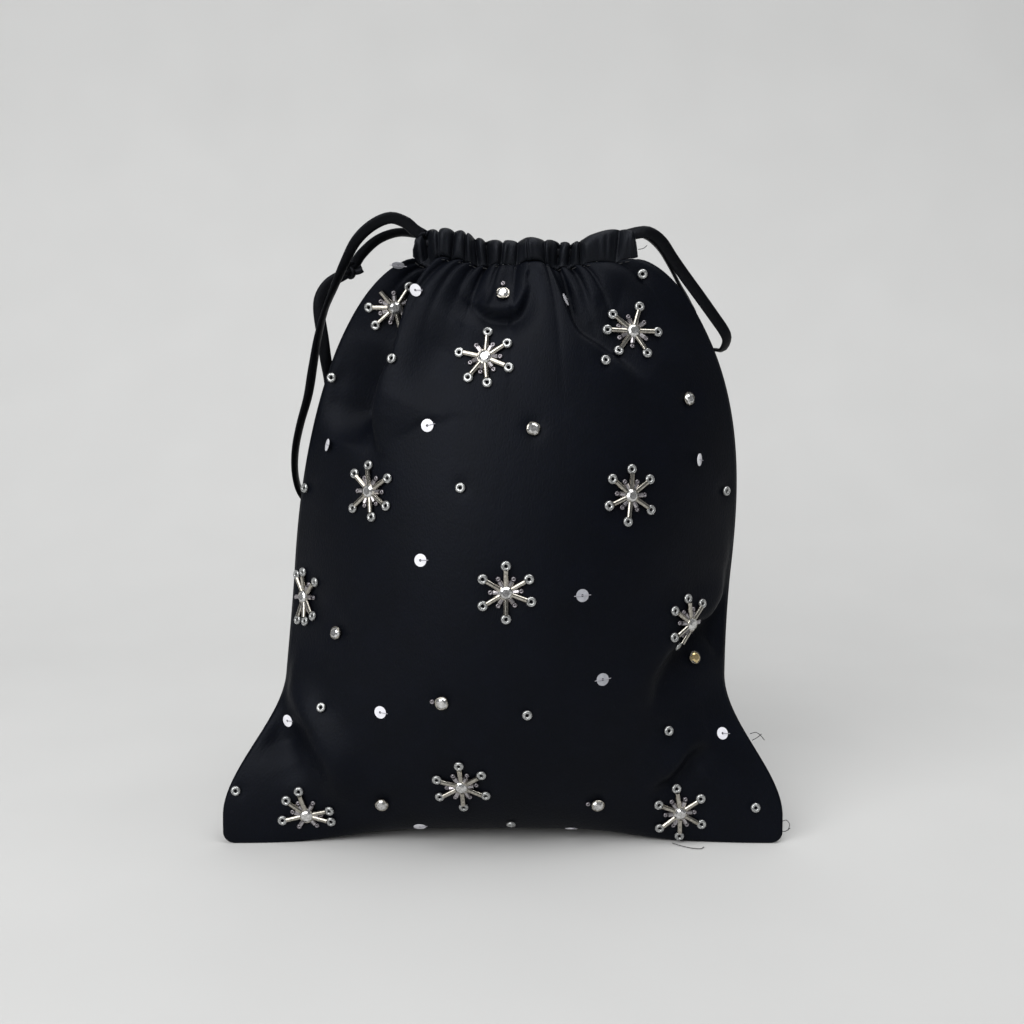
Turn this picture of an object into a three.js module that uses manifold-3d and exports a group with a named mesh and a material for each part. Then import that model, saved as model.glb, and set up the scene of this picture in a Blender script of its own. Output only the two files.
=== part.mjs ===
// Beaded satin drawstring pouch, standing filled out on its flat underside.
// Millimetres, +Z up. The front faces -Y and the floor is Z = 0.
import * as THREE from 'three';
import { mergeVertices } from 'three/addons/utils/BufferGeometryUtils.js';
import Module from 'manifold-3d';

const wasm = await Module();
wasm.setup();
const { lerp, smoothstep, degToRad } = THREE.MathUtils;

// Pouch body, as it stands
const POUCH_WIDTH = 200; // across the lower corners
const BODY_HEIGHT = 205.8; // floor to the ends of the casing seam
const WAIST_WIDTH = 159; // where the sides pull in above the corners
const FRONT_BELLY = 44.5; // how far the front swells from the middle plane
const BACK_BELLY = 47;
const BASE_FRONT = 20; // front and back limits of the flat underside
const BASE_BACK = 24;
const CORNER_HEIGHT = 10; // the lower corners stand upright this far
const WAIST_HEIGHT = 58;
const BELLY_HEIGHT = 66;
const CHEST_HEIGHT = 95; // the sides start to lean in above this
const SEAM_FORWARD = 26; // the lower corners flop this far to the front

// Drawn mouth and its casing
const MOUTH_WIDTH = 78;
const MOUTH_GAP = 9; // between the two casings, in the middle
const MOUTH_END_GAP = 2.4; // between the two casings, at their ends
const MOUTH_LEAN = 8; // the mouth stands to the right of the base
const MOUTH_DIP = 4; // its middle hangs lower than its ends
const CASING_HEIGHT = 11;
const CASING_DEPTH = 10;
const SLIT_LENGTH = 26; // the side seams are open this far below the casing

// Cloth
const SATIN = 0.9; // satin with its backing
const GAP = 0.3; // between pieces that lie on each other
const SEAM_STACK = SATIN + GAP / 2; // half the thickness of a side seam
const CASING_SEAT = (CASING_DEPTH + SATIN) / 2; // each casing stands centred over its panel's top edge

// Drawstrings
const CORD_DIAMETER = 3;
const LANE_SHIFT = 1.75; // each cord keeps to its own side of the tunnel
const LANE_RISE = 2.2; // and leaves at the top, past the other cord's turn
const TURN_OUT = 2.1; // where a cord turns at the far end it first runs this far out of the casing
const TURN_REACH = 4.5;
const KNOT_RADIUS = 3;

// Beads
const STONE_RADIUS = 2.65;
const STONE_HEIGHT = 2.6;
const STONE_BEVEL = 1.2; // the flat top of a stone is smaller than its girdle
const CUP_HEIGHT = 0.9;
const CUP_TAPER = 0.25; // the foot of the cup is smaller than the stone
const BUGLE_LENGTH = 5.3;
const BUGLE_RADIUS = 0.8;
const RING_RADIUS = 1.8;
const RING_HOLE = 0.6;
const RING_HEIGHT = 1.6;
const RING_CROWN = 1.25; // radius of its top edge
const TUBE_LENGTH = 1.9;
const TUBE_RADIUS = 0.5;
const SEED_RADIUS = 0.85;
const BEAD_TOUCH = 0.25; // strung beads press this far into each other
const SINGLE_STONE_RADIUS = 2.25;
const SEQUIN_RADIUS = 2.3;
const SEQUIN_HOLE = 0.5;
const SEQUIN_THICKNESS = 0.4;
const ARMS = 6;

// Shape of the curves between those sizes
const SHOULDER_CURVE = [2.4, 1.6];
const TOP_CURVE = [2, 1.2];
const UNDER_CURVE = [2.2, 1.5];
const SECTION_POWER = 2.3;
const LOW_SPREAD = 1.3; // rows of facets lie closer together near the floor
const TOP_SPREAD = 1.25; // and under the mouth
const UNDERSIDE_SHARE = 0.2; // of the back panel's rows
const FLAT_SHARE = 0.5; // of the width that rests on the floor

// Facets
const COLUMNS = 12;
const ROWS = 14;
const CASING_STEPS = 8;
const CASING_SIDES = 8;
const CORD_SIDES = 8;
const CORD_STEPS = 52;
const STONE_SIDES = 8;
const RING_SIDES = 6;
const SEQUIN_SIDES = 7;
const BUGLE_SIDES = 4;
const TUBE_SIDES = 3;
const SEAT_REACH = 3; // between the points that give a bead its tilt
const PROBE_HEIGHT = 5; // the cloth under an arm is looked for from this far over it
const PROBE_LENGTH = 13;
const RIM_PROBES = 8;
const ARM_PROBES = [0.4, 0.7, 1]; // shares of an arm where it is held clear of the cloth

const FRONT = -1;
const BACK = 1;

const finish = (color, roughness, metalness = 0) =>
  new THREE.MeshStandardMaterial({ color, roughness, metalness });
const finishes = {
  satin: finish(0x17171c, 0.35),
  cord: finish(0x141418, 0.4),
  crystal: finish(0xcfd2d6, 0.08, 0.3),
  glass: finish(0xd9dce0, 0.1),
  sequin: finish(0xe6e6ea, 0.25, 0.4),
};

const pouch = new THREE.Group();

function addPiece(name, geometry, material) {
  const piece = new THREE.Mesh(geometry, material);
  piece.name = name;
  pouch.add(piece);
  return piece;
}

// A quarter turn of a rounded curve: 1 where share is 0, falling to 0 where it is 1.
function rounded(share, [power, root]) {
  return (1 - Math.min(1, Math.max(0, share)) ** power) ** (1 / root);
}

function halfWidth(z) {
  const flare = 1 - smoothstep(z, CORNER_HEIGHT, WAIST_HEIGHT);
  const lower = lerp(WAIST_WIDTH, POUCH_WIDTH, flare) / 2;
  const rise = (z - CHEST_HEIGHT) / (BODY_HEIGHT - CHEST_HEIGHT);
  const drawnIn = (WAIST_WIDTH - MOUTH_WIDTH) / 2;
  return lower - drawnIn * (1 - rounded(rise, SHOULDER_CURVE));
}

function leanAt(z) {
  return MOUTH_LEAN * smoothstep(z, WAIST_HEIGHT, BODY_HEIGHT - SLIT_LENGTH);
}

// Distance of the cloth from the middle plane, halfway across.
function swellAt(face, z) {
  const base = face === FRONT ? BASE_FRONT : BASE_BACK;
  const belly = face === FRONT ? FRONT_BELLY : BACK_BELLY;
  const mouth = MOUTH_GAP / 2 + CASING_SEAT;
  if (z < BELLY_HEIGHT) return lerp(base, belly, rounded(1 - z / BELLY_HEIGHT, UNDER_CURVE));
  const rise = (z - BELLY_HEIGHT) / (BODY_HEIGHT - BELLY_HEIGHT);
  return lerp(mouth, belly, rounded(rise, TOP_CURVE));
}

function seamAt(face, z) {
  const forward = SEAM_FORWARD * (1 - smoothstep(z, 0, CHEST_HEIGHT));
  const open = smoothstep(z, BODY_HEIGHT - SLIT_LENGTH, BODY_HEIGHT);
  const parted = lerp(SEAM_STACK, MOUTH_END_GAP / 2 + CASING_SEAT, open);
  return -forward + face * parted;
}

function rowHeight(share) {
  return BODY_HEIGHT * (1 - (1 - share ** LOW_SPREAD) ** TOP_SPREAD);
}

// A point of the outside of the cloth: across runs from -1 to 1, up from the bottom seam to the casing seam.
function clothPoint(face, across, up) {
  const underside = face === FRONT ? 0 : UNDERSIDE_SHARE;
  const seamZ = rowHeight(up);
  const middleZ = rowHeight(Math.max(0, up - underside) / (1 - underside));
  const seamY = seamAt(face, seamZ);
  const resting = lerp(-BASE_FRONT + SEAM_STACK, BASE_BACK, up / UNDERSIDE_SHARE);
  const middleY = up < underside ? resting : face * swellAt(face, middleZ);
  const corner = Math.cos((Math.PI / 2) * across) ** 2;
  const belly = 1 - Math.abs(across) ** SECTION_POWER;
  const swell = lerp(corner, belly, smoothstep(seamZ, 0, WAIST_HEIGHT));
  const level = 1 - smoothstep(Math.abs(across), FLAT_SHARE, 1);
  const dip = MOUTH_DIP * (1 - across ** 2) * smoothstep(seamZ, BODY_HEIGHT - SLIT_LENGTH, BODY_HEIGHT);
  return new THREE.Vector3(
    leanAt(seamZ) + halfWidth(seamZ) * across,
    lerp(seamY, middleY, swell),
    lerp(seamZ, middleZ, level) - dip,
  );
}

// The cloth's outward direction at the same point.
function clothNormal(face, across, up) {
  const step = 1e-3;
  const left = clothPoint(face, Math.max(-1, across - step), up);
  const right = clothPoint(face, Math.min(1, across + step), up);
  const low = clothPoint(face, across, Math.max(0, up - step));
  const high = clothPoint(face, across, Math.min(1, up + step));
  return right.sub(left).cross(high.sub(low)).multiplyScalar(-face).normalize();
}

// A closed solid from loops of points, each loop joined to the next, and the last to the first.
function solidFromLoops(loops) {
  const around = loops[0].length;
  const points = loops.flat().flatMap((p) => p.toArray());
  const faces = [];
  loops.forEach((_, i) => {
    const here = i * around;
    const next = ((i + 1) % loops.length) * around;
    for (let j = 0; j < around; j += 1) {
      const k = (j + 1) % around;
      faces.push(here + j, next + j, next + k, here + j, next + k, here + k);
    }
  });
  const geometry = new THREE.BufferGeometry();
  geometry.setAttribute('position', new THREE.Float32BufferAttribute(points, 3));
  geometry.setIndex(faces);
  return geometry;
}

// One panel of the shell, as thick as its cloth. It stays above the floor.
function panelGeometry(face) {
  const points = [];
  const place = (across, up, depth) => {
    const point = clothPoint(face, across, up).addScaledVector(clothNormal(face, across, up), -depth);
    points.push(point.x, point.y, Math.max(0, point.z));
  };
  for (let i = 0; i <= COLUMNS; i += 1) {
    for (let j = 0; j <= ROWS; j += 1) {
      const across = -1 + (2 * i) / COLUMNS;
      place(across, j / ROWS, 0);
      place(across, j / ROWS, SATIN);
    }
  }
  const faces = [];
  const quad = (a, b, c, d) => faces.push(...(face === FRONT ? [a, b, c, a, c, d] : [c, b, a, d, c, a]));
  const outer = (i, j) => 2 * (i * (ROWS + 1) + j);
  const inner = (i, j) => outer(i, j) + 1;
  for (let i = 0; i < COLUMNS; i += 1) {
    for (let j = 0; j < ROWS; j += 1) {
      quad(outer(i, j), outer(i + 1, j), outer(i + 1, j + 1), outer(i, j + 1));
      quad(inner(i + 1, j + 1), inner(i + 1, j), inner(i, j), inner(i, j + 1));
    }
    quad(inner(i, 0), inner(i + 1, 0), outer(i + 1, 0), outer(i, 0));
    quad(outer(i, ROWS), outer(i + 1, ROWS), inner(i + 1, ROWS), inner(i, ROWS));
  }
  for (let j = 0; j < ROWS; j += 1) {
    quad(outer(0, j), outer(0, j + 1), inner(0, j + 1), inner(0, j));
    quad(inner(COLUMNS, j), inner(COLUMNS, j + 1), outer(COLUMNS, j + 1), outer(COLUMNS, j));
  }
  const geometry = new THREE.BufferGeometry();
  geometry.setAttribute('position', new THREE.Float32BufferAttribute(points, 3));
  geometry.setIndex(faces);
  return geometry;
}

// The middle of a casing's tunnel, over the top edge of its panel.
function tunnelPoint(face, across) {
  const edge = clothPoint(face, across, 1);
  return edge.add(new THREE.Vector3(0, (-face * SATIN) / 2, GAP + CASING_HEIGHT / 2));
}

// A flat sleeve: the outside loops run one way along the casing and the tunnel's loops come back.
const CASING_STATIONS = Array.from({ length: CASING_STEPS + 1 }, (_, i) => -1 + (2 * i) / CASING_STEPS);

function casingGeometry(face) {
  const widest = Math.cos(Math.PI / CASING_SIDES);
  const loopAt = (across, inset) => {
    const middle = tunnelPoint(face, across);
    return Array.from({ length: CASING_SIDES }, (_, i) => {
      const angle = ((i + 0.5) / CASING_SIDES) * 2 * Math.PI;
      const [c, s] = [Math.cos(angle) / widest, Math.sin(angle) / widest];
      const y = Math.sign(c) * Math.sqrt(Math.abs(c)) * (CASING_DEPTH / 2 - inset);
      const z = Math.sign(s) * Math.sqrt(Math.abs(s)) * (CASING_HEIGHT / 2 - inset);
      return middle.clone().add(new THREE.Vector3(0, y, z));
    });
  };
  const outside = CASING_STATIONS.toReversed().map((across) => loopAt(across, 0));
  const tunnel = CASING_STATIONS.map((across) => loopAt(across, SATIN));
  return solidFromLoops([...outside, ...tunnel]);
}

function manifoldOf(geometry) {
  const bare = new THREE.BufferGeometry();
  bare.setAttribute('position', geometry.getAttribute('position'));
  bare.setIndex(geometry.getIndex());
  const merged = mergeVertices(bare, 1e-4);
  const vertProperties = new Float32Array(merged.getAttribute('position').array);
  const triVerts = new Uint32Array(merged.getIndex().array);
  return new wasm.Manifold(new wasm.Mesh({ numProp: 3, vertProperties, triVerts }));
}

function joined(geometries) {
  const mesh = geometries
    .map(manifoldOf)
    .reduce((whole, next) => whole.add(next))
    .getMesh();
  const geometry = new THREE.BufferGeometry();
  geometry.setAttribute('position', new THREE.BufferAttribute(mesh.vertProperties, 3));
  geometry.setIndex(new THREE.BufferAttribute(mesh.triVerts, 1));
  return geometry;
}

// Free route of each drawstring, from its knot to the casing and from the casing back to its knot.
const LEFT_TO_CASING = [
  [-52.9, 4.2, 203.2], [-49.8, 4.3, 207.6], [-44, 4.4, 212.6], [-37, 4.4, 215],
];
const LEFT_FROM_CASING = [
  [-33.5, -4.5, 218.6], [-38.9, -4.8, 219.8], [-45.2, -5, 217.2], [-50.8, -5.2, 211.9], [-55.1, -5, 204.1],
  [-58.9, -4.5, 195.8], [-62.3, -4, 187.9], [-65.1, -3, 178.7], [-67.3, -1.5, 168.4], [-69.5, 0, 157.7],
  [-72.8, 2, 147.4], [-75.1, 4, 138.1], [-75.8, 6, 129.4], [-74.6, 8.5, 122.3], [-71.3, 10.5, 119.5],
  [-68.5, 11.5, 123], [-67, 11, 134], [-65.2, 10, 149], [-62.9, 8.5, 163.4], [-63.7, 6.5, 170],
  [-64.4, 5, 178], [-65.4, 4, 187], [-64.8, 4, 192.5], [-61.5, 4, 197.3], [-55.6, 4.1, 200.8],
];
const RIGHT_TO_CASING = [
  [57, 30.6, 136.5], [58.5, 26, 149], [60.5, 21, 163], [64, 14.6, 175], [68, 9.5, 184], [65.5, 9.6, 190.7],
  [62.1, 9.3, 196.3], [58.1, 7.6, 203.7], [54.5, 7.2, 209.3], [50.6, 7.6, 213.2],
];
const RIGHT_FROM_CASING = [
  [50.9, -7.2, 214.8], [55.2, -6, 211.6], [59.3, -4.5, 205.8], [64.2, -3, 199.3], [69.4, -1.5, 192.7],
  [74.7, 0, 185.8], [78.6, 1.5, 180.6], [80, 3.5, 177.3], [78.7, 6, 173.6], [75.1, 8.5, 173.3],
  [71, 12, 168], [69, 16.3, 157], [68, 19.8, 143], [67, 22.5, 127], [64, 26, 113], [59, 29.5, 110.5],
  [56, 32, 120], [56.6, 31.3, 133.5],
];

// One drawstring: it runs through both tunnels, turns at the far end and is knotted where it left.
function drawstringGeometry(side, toCasing, fromCasing) {
  const shift = -side * LANE_SHIFT;
  const lane = (face, across) => {
    const middle = tunnelPoint(face, across);
    return middle.add(new THREE.Vector3(0, face * shift * -1, LANE_RISE * across * side));
  };
  const shares = CASING_STATIONS.map((share) => -share * side);
  const there = shares.map((across) => lane(BACK, across));
  const back = shares.toReversed().map((across) => lane(FRONT, across));
  const turn = [0, 0.5, 1].map((share) => there.at(-1).clone().lerp(back[0], share));
  turn.forEach((point, i) => point.setX(point.x - side * (i === 1 ? TURN_REACH : TURN_OUT)));
  const vector = (xyz) => new THREE.Vector3(...xyz);
  const route = [...toCasing.map(vector), ...there, ...turn, ...back, ...fromCasing.map(vector)];
  const radius = CORD_DIAMETER / 2;
  const outline = Array.from({ length: CORD_SIDES }, (_, i) => {
    const angle = (i / CORD_SIDES) * 2 * Math.PI;
    return new THREE.Vector2(radius * Math.cos(angle), radius * Math.sin(angle));
  });
  const tube = new THREE.ExtrudeGeometry(new THREE.Shape(outline), {
    steps: CORD_STEPS,
    extrudePath: new THREE.CatmullRomCurve3(route),
  });
  const knot = new THREE.IcosahedronGeometry(KNOT_RADIUS, 1);
  const middle = route[0].clone().lerp(route.at(-1), 0.5);
  knot.translate(...middle.toArray());
  return joined([tube, knot]);
}

// Where a bead sits on the front panel: a frame with X across, Y up the cloth and Z out of it.
function seatOn(panel, across, up) {
  const caster = new THREE.Raycaster();
  const z = up * BODY_HEIGHT;
  const x = leanAt(z) + across * halfWidth(z);
  const hit = (dx, dz) => {
    caster.set(new THREE.Vector3(x + dx, -POUCH_WIDTH, z + dz), new THREE.Vector3(0, 1, 0));
    return caster.intersectObject(panel)[0].point;
  };
  const side = across > 0 ? -SEAT_REACH : SEAT_REACH;
  const rise = up < 0.5 ? SEAT_REACH : -SEAT_REACH;
  const here = hit(0, 0);
  const along = hit(side, 0).sub(here).multiplyScalar(Math.sign(side)).normalize();
  const upward = hit(0, rise).sub(here).multiplyScalar(Math.sign(rise));
  const out = along.clone().cross(upward).normalize();
  const frame = new THREE.Matrix4().makeBasis(along, out.clone().cross(along), out);
  return frame.setPosition(here.addScaledVector(out, GAP));
}

// Height of the cloth over a seat's own plane at a place on it, found along the seat's outward direction.
function clothHeight(panel, seat, x, y) {
  const start = new THREE.Vector3(x, y, PROBE_HEIGHT).applyMatrix4(seat);
  const inward = new THREE.Vector3(0, 0, -1).transformDirection(seat);
  const found = new THREE.Raycaster(start, inward, 0, PROBE_LENGTH).intersectObject(panel)[0];
  return found ? PROBE_HEIGHT - found.distance + GAP : 0;
}

function turned(profile, sides) {
  const points = profile.map((point) => new THREE.Vector2(...point));
  return new THREE.LatheGeometry(points, sides).rotateX(Math.PI / 2);
}

// The same seat, raised until a round bead of that radius clears the cloth under its rim.
function raised(panel, seat, radius) {
  const heights = Array.from({ length: RIM_PROBES }, (_, i) => {
    const angle = (i / RIM_PROBES) * 2 * Math.PI;
    return clothHeight(panel, seat, radius * Math.cos(angle), radius * Math.sin(angle));
  });
  return seat.clone().multiply(new THREE.Matrix4().makeTranslation(0, 0, Math.max(0, ...heights)));
}

// A cut stone in its cup.
function stoneGeometry(radius) {
  const profile = [
    [0, 0], [radius - CUP_TAPER, 0], [radius, CUP_HEIGHT], [radius - STONE_BEVEL, STONE_HEIGHT],
    [0, STONE_HEIGHT],
  ];
  return turned(profile, STONE_SIDES);
}

function ringGeometry() {
  const middle = RING_HEIGHT / 2;
  const profile = [[RING_HOLE, middle], [RING_RADIUS, 0], [RING_CROWN, RING_HEIGHT], [RING_HOLE, middle]];
  return turned(profile, RING_SIDES);
}

function sequinGeometry() {
  const profile = [
    [SEQUIN_HOLE, 0], [SEQUIN_RADIUS, 0], [SEQUIN_RADIUS, SEQUIN_THICKNESS], [SEQUIN_HOLE, SEQUIN_THICKNESS],
    [SEQUIN_HOLE, 0],
  ];
  return turned(profile, SEQUIN_SIDES);
}

function seedGeometry() {
  return new THREE.OctahedronGeometry(SEED_RADIUS).translate(0, 0, SEED_RADIUS);
}

// A tube bead lying along X, from start to end, on the plane Z = 0.
function tubeBead(start, end, radius, sides) {
  const bead = new THREE.CylinderGeometry(radius, radius, end - start, sides);
  return bead.rotateZ(Math.PI / 2).translate((start + end) / 2, 0, radius);
}

const STRUNG_FROM = STONE_RADIUS - 2 * BEAD_TOUCH;
const BUGLE_END = STONE_RADIUS + BUGLE_LENGTH;
const RING_AT = BUGLE_END + RING_CROWN - BEAD_TOUCH;
const TUBE_END = STONE_RADIUS + TUBE_LENGTH;
const SEED_AT = TUBE_END + SEED_RADIUS - BEAD_TOUCH;

function longArm() {
  const bugle = tubeBead(STRUNG_FROM, BUGLE_END, BUGLE_RADIUS, BUGLE_SIDES);
  return [bugle, ringGeometry().translate(RING_AT, 0, 0)];
}

// A tube bead and the seed bead that ends the short arm, turned about the thread.
function shortArm() {
  const profile = [
    [0, STRUNG_FROM], [TUBE_RADIUS, STRUNG_FROM], [TUBE_RADIUS, TUBE_END], [SEED_RADIUS, SEED_AT],
    [0, SEED_AT + SEED_RADIUS],
  ];
  const points = profile.map((point) => new THREE.Vector2(...point));
  const beads = new THREE.LatheGeometry(points, TUBE_SIDES);
  return [beads.rotateZ(-Math.PI / 2).translate(0, 0, SEED_RADIUS)];
}

// A snowflake whose arms follow the cloth: each is tilted until it just clears the cloth all along.
function snowflakeGeometry(panel, seat, turn) {
  const centre = raised(panel, seat, STONE_RADIUS);
  const beads = [stoneGeometry(STONE_RADIUS)];
  for (let i = 0; i < 2 * ARMS; i += 1) {
    const isLong = i % 2 === 0;
    const angle = degToRad(turn) + (Math.PI / ARMS) * i;
    const end = isLong ? RING_AT + RING_RADIUS : SEED_AT + SEED_RADIUS;
    const sides = isLong ? [-RING_RADIUS, 0, RING_RADIUS] : [-SEED_RADIUS, 0, SEED_RADIUS];
    const slopes = ARM_PROBES.flatMap((share) => sides.map((aside) => {
      const reach = lerp(STONE_RADIUS, end, share);
      const place = new THREE.Vector2(reach, aside).rotateAround(new THREE.Vector2(), angle);
      return clothHeight(panel, centre, place.x, place.y) / (reach - STONE_RADIUS);
    }));
    const tilt = -Math.atan(Math.max(...slopes));
    const arm = isLong ? longArm() : shortArm();
    arm.forEach((bead) => {
      bead.translate(-STONE_RADIUS, 0, 0).rotateY(tilt);
      bead.translate(STONE_RADIUS, 0, 0).rotateZ(angle);
    });
    beads.push(...arm);
  }
  return joined(beads).applyMatrix4(centre);
}

// The cloth pieces
const frontPanel = addPiece('front_panel', panelGeometry(FRONT), finishes.satin);
addPiece('back_panel', panelGeometry(BACK), finishes.satin);
addPiece('front_casing', casingGeometry(FRONT), finishes.satin);
addPiece('back_casing', casingGeometry(BACK), finishes.satin);

// The drawstrings
addPiece('left_drawstring', drawstringGeometry(-1, LEFT_TO_CASING, LEFT_FROM_CASING), finishes.cord);
addPiece('right_drawstring', drawstringGeometry(1, RIGHT_TO_CASING, RIGHT_FROM_CASING), finishes.cord);

// Places on the front panel: share of the half width there, share of the body height, and turn in degrees
const SNOWFLAKES = [
  [-0.79, 0.926, 0], [-0.206, 0.851, 33], [0.589, 0.89, 0], [-0.637, 0.622, 30], [0.491, 0.62, 32],
  [-0.008, 0.47, 30], [-0.89, 0.421, 30], [0.816, 0.385, 15], [-0.149, 0.13, 33], [-0.693, 0.058, 0],
  [0.627, 0.062, 35],
];
const RHINESTONES = [
  [-0.14, 0.944], [0.791, 0.771], [0.047, 0.731], [-0.721, 0.377], [0.838, 0.325], [-0.253, 0.283],
  [-0.427, 0.088], [0.337, 0.091],
];
const RING_BEADS = [
  [-0.672, 0.84], [-0.96, 0.804], [0.851, 0.981], [0.396, 0.84], [-0.244, 0.637], [0.943, 0.608],
  [-0.95, 0.612], [0.105, 0.263], [0.685, 0.212], [0.901, 0.066], [0.029, 0.036], [-0.781, 0.246],
  [-0.969, 0.094],
];
const SEQUINS = [
  [-0.88, 0.982], [-0.694, 0.955], [0.236, 0.938], [-0.429, 0.735], [-0.877, 0.69], [0.806, 0.669],
  [-0.38, 0.517], [0.316, 0.461], [0.427, 0.316], [-0.521, 0.255], [-0.908, 0.214], [0.901, 0.19],
  [-0.294, 0.038], [0.246, 0.016],
];
const SEED_BEADS = [[-0.15, 0.961], [-0.296, 0.283], [0.302, 0.091]];

function addBeads(name, places, shape, material) {
  frontPanel.updateMatrixWorld(true);
  places.forEach(([across, up, turn = 0], i) => {
    const number = String(i + 1).padStart(2, '0');
    addPiece(`${name}_${number}`, shape(seatOn(frontPanel, across, up), turn), material);
  });
}

const singleStone = () => stoneGeometry(SINGLE_STONE_RADIUS);
const seated = (shape, radius) => (seat) => shape().applyMatrix4(raised(frontPanel, seat, radius));
const snowflake = (seat, turn) => snowflakeGeometry(frontPanel, seat, turn);

addBeads('snowflake', SNOWFLAKES, snowflake, finishes.crystal);
addBeads('rhinestone', RHINESTONES, seated(singleStone, SINGLE_STONE_RADIUS), finishes.crystal);
addBeads('ring_bead', RING_BEADS, seated(ringGeometry, RING_RADIUS), finishes.glass);
addBeads('sequin', SEQUINS, seated(sequinGeometry, SEQUIN_RADIUS), finishes.sequin);
addBeads('seed_bead', SEED_BEADS, seated(seedGeometry, SEED_RADIUS), finishes.glass);

export default pouch;
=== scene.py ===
"""Beaded black satin drawstring pouch: cloth, cords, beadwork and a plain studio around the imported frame."""
import logging
import math
from contextlib import contextmanager
from dataclasses import dataclass, field
from enum import Enum
from typing import Callable, Iterator, Sequence

import bpy
import numpy as np
from mathutils import Matrix, Vector
from mathutils.bvhtree import BVHTree


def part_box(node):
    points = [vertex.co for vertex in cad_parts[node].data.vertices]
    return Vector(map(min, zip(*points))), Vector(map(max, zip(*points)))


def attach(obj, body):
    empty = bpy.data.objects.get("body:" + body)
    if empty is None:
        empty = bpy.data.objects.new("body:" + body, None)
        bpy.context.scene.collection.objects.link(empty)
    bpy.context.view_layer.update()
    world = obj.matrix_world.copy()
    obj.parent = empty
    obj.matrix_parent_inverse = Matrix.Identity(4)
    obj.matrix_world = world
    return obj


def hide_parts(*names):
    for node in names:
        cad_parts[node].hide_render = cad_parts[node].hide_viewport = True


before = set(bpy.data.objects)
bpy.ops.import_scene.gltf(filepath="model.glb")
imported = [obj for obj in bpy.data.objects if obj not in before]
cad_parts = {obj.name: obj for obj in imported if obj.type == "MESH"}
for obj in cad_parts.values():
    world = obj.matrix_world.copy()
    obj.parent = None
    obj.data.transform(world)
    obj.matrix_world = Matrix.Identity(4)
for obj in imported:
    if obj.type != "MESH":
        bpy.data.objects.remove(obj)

LOG = logging.getLogger("pouch")
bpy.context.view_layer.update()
MM = 0.001
BODY = "root"
TAKE_UP = 0.9937  # share of the cloth's height that the gathers leave
CURVE_STEPS = 24  # points of a smooth path between two given ones
UP = Vector((0.0, 0.0, 1.0))
Points = Sequence[Sequence[float]]


class Face(Enum):
    """The two sides of the pouch, with the sign of Y that each faces."""

    FRONT = -1
    BACK = 1


# Small tools


def smoothstep(x: np.ndarray, low: float, high: float) -> np.ndarray:
    """Smooth rise from 0 at low to 1 at high."""
    t = np.clip((np.asarray(x, float) - low) / (high - low), 0.0, 1.0)
    return t * t * (3.0 - 2.0 * t)


def mix(a: np.ndarray, b: np.ndarray, t: np.ndarray) -> np.ndarray:
    """Straight blend from a to b."""
    return a + (b - a) * t


def ramp(line: tuple[float, float], t: np.ndarray) -> np.ndarray:
    """Height of a straight line, given its start and its gain, at t."""
    return line[0] + line[1] * t


def linear(code: str) -> tuple[float, float, float, float]:
    """Turns an sRGB hex colour to linear RGBA.

    Args:
        code: six hex digits, such as "17181d".

    Returns:
        The linear colour with alpha 1.
    """
    channels = [int(code[i : i + 2], 16) / 255.0 for i in (0, 2, 4)]
    flat = [c / 12.92 if c <= 0.04045 else ((c + 0.055) / 1.055) ** 2.4 for c in channels]
    return (flat[0], flat[1], flat[2], 1.0)


def add_node(
    tree: bpy.types.NodeTree, kind: str, settings: dict | None = None, **links: object
) -> bpy.types.Node:
    """Adds a node with its settings, and sets or links its inputs by name.

    Args:
        tree: the material's node tree.
        kind: the node's type.
        settings: attributes of the node.
        **links: input name, with _ for a space, to a value or an output socket. A leading i_ gives an index.

    Returns:
        The new node.
    """
    node = tree.nodes.new(kind)
    for name, value in (settings or {}).items():
        setattr(node, name, value)
    for name, value in links.items():
        socket = node.inputs[int(name[2:]) if name.startswith("i_") else name.replace("_", " ")]
        if isinstance(value, bpy.types.NodeSocket):
            tree.links.new(value, socket)
        else:
            socket.default_value = value
    return node


def new_material(name: str) -> tuple[bpy.types.Material, bpy.types.NodeTree, bpy.types.Node]:
    """Makes a material with an empty Principled shader.

    Args:
        name: the material's name.

    Returns:
        The material, its tree and its shader node.
    """
    material = bpy.data.materials.new(name)
    material.use_nodes = True
    tree = material.node_tree
    return material, tree, tree.nodes["Principled BSDF"]


def add_noise(
    tree: bpy.types.NodeTree, place: bpy.types.NodeSocket, scale: float, detail: float, axes: str = "2D"
) -> bpy.types.Node:
    """Adds a noise texture of some scale over flat or solid coordinates."""
    settings = {"noise_dimensions": axes}
    return add_node(tree, "ShaderNodeTexNoise", settings, Vector=place, Scale=scale, Detail=detail)


def add_blend(
    tree: bpy.types.NodeTree, share: object, first: object, second: object, blend: str = "MIX"
) -> bpy.types.NodeSocket:
    """Adds a blend of two colours, each a value or a socket, and gives its colour."""
    settings = {"data_type": "RGBA", "blend_type": blend}
    return add_node(tree, "ShaderNodeMix", settings, i_0=share, i_6=first, i_7=second).outputs[2]


def deselect() -> None:
    """Deselects every object."""
    bpy.ops.object.select_all(action="DESELECT")


def activate(*objs: bpy.types.Object) -> None:
    """Selects only these objects and makes the first active."""
    deselect()
    for obj in objs:
        obj.select_set(True)
    bpy.context.view_layer.objects.active = objs[0]


def apply_modifiers(obj: bpy.types.Object) -> None:
    """Applies all of an object's modifiers in order."""
    activate(obj)
    for modifier in list(obj.modifiers):
        bpy.ops.object.modifier_apply(modifier=modifier.name)


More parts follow.
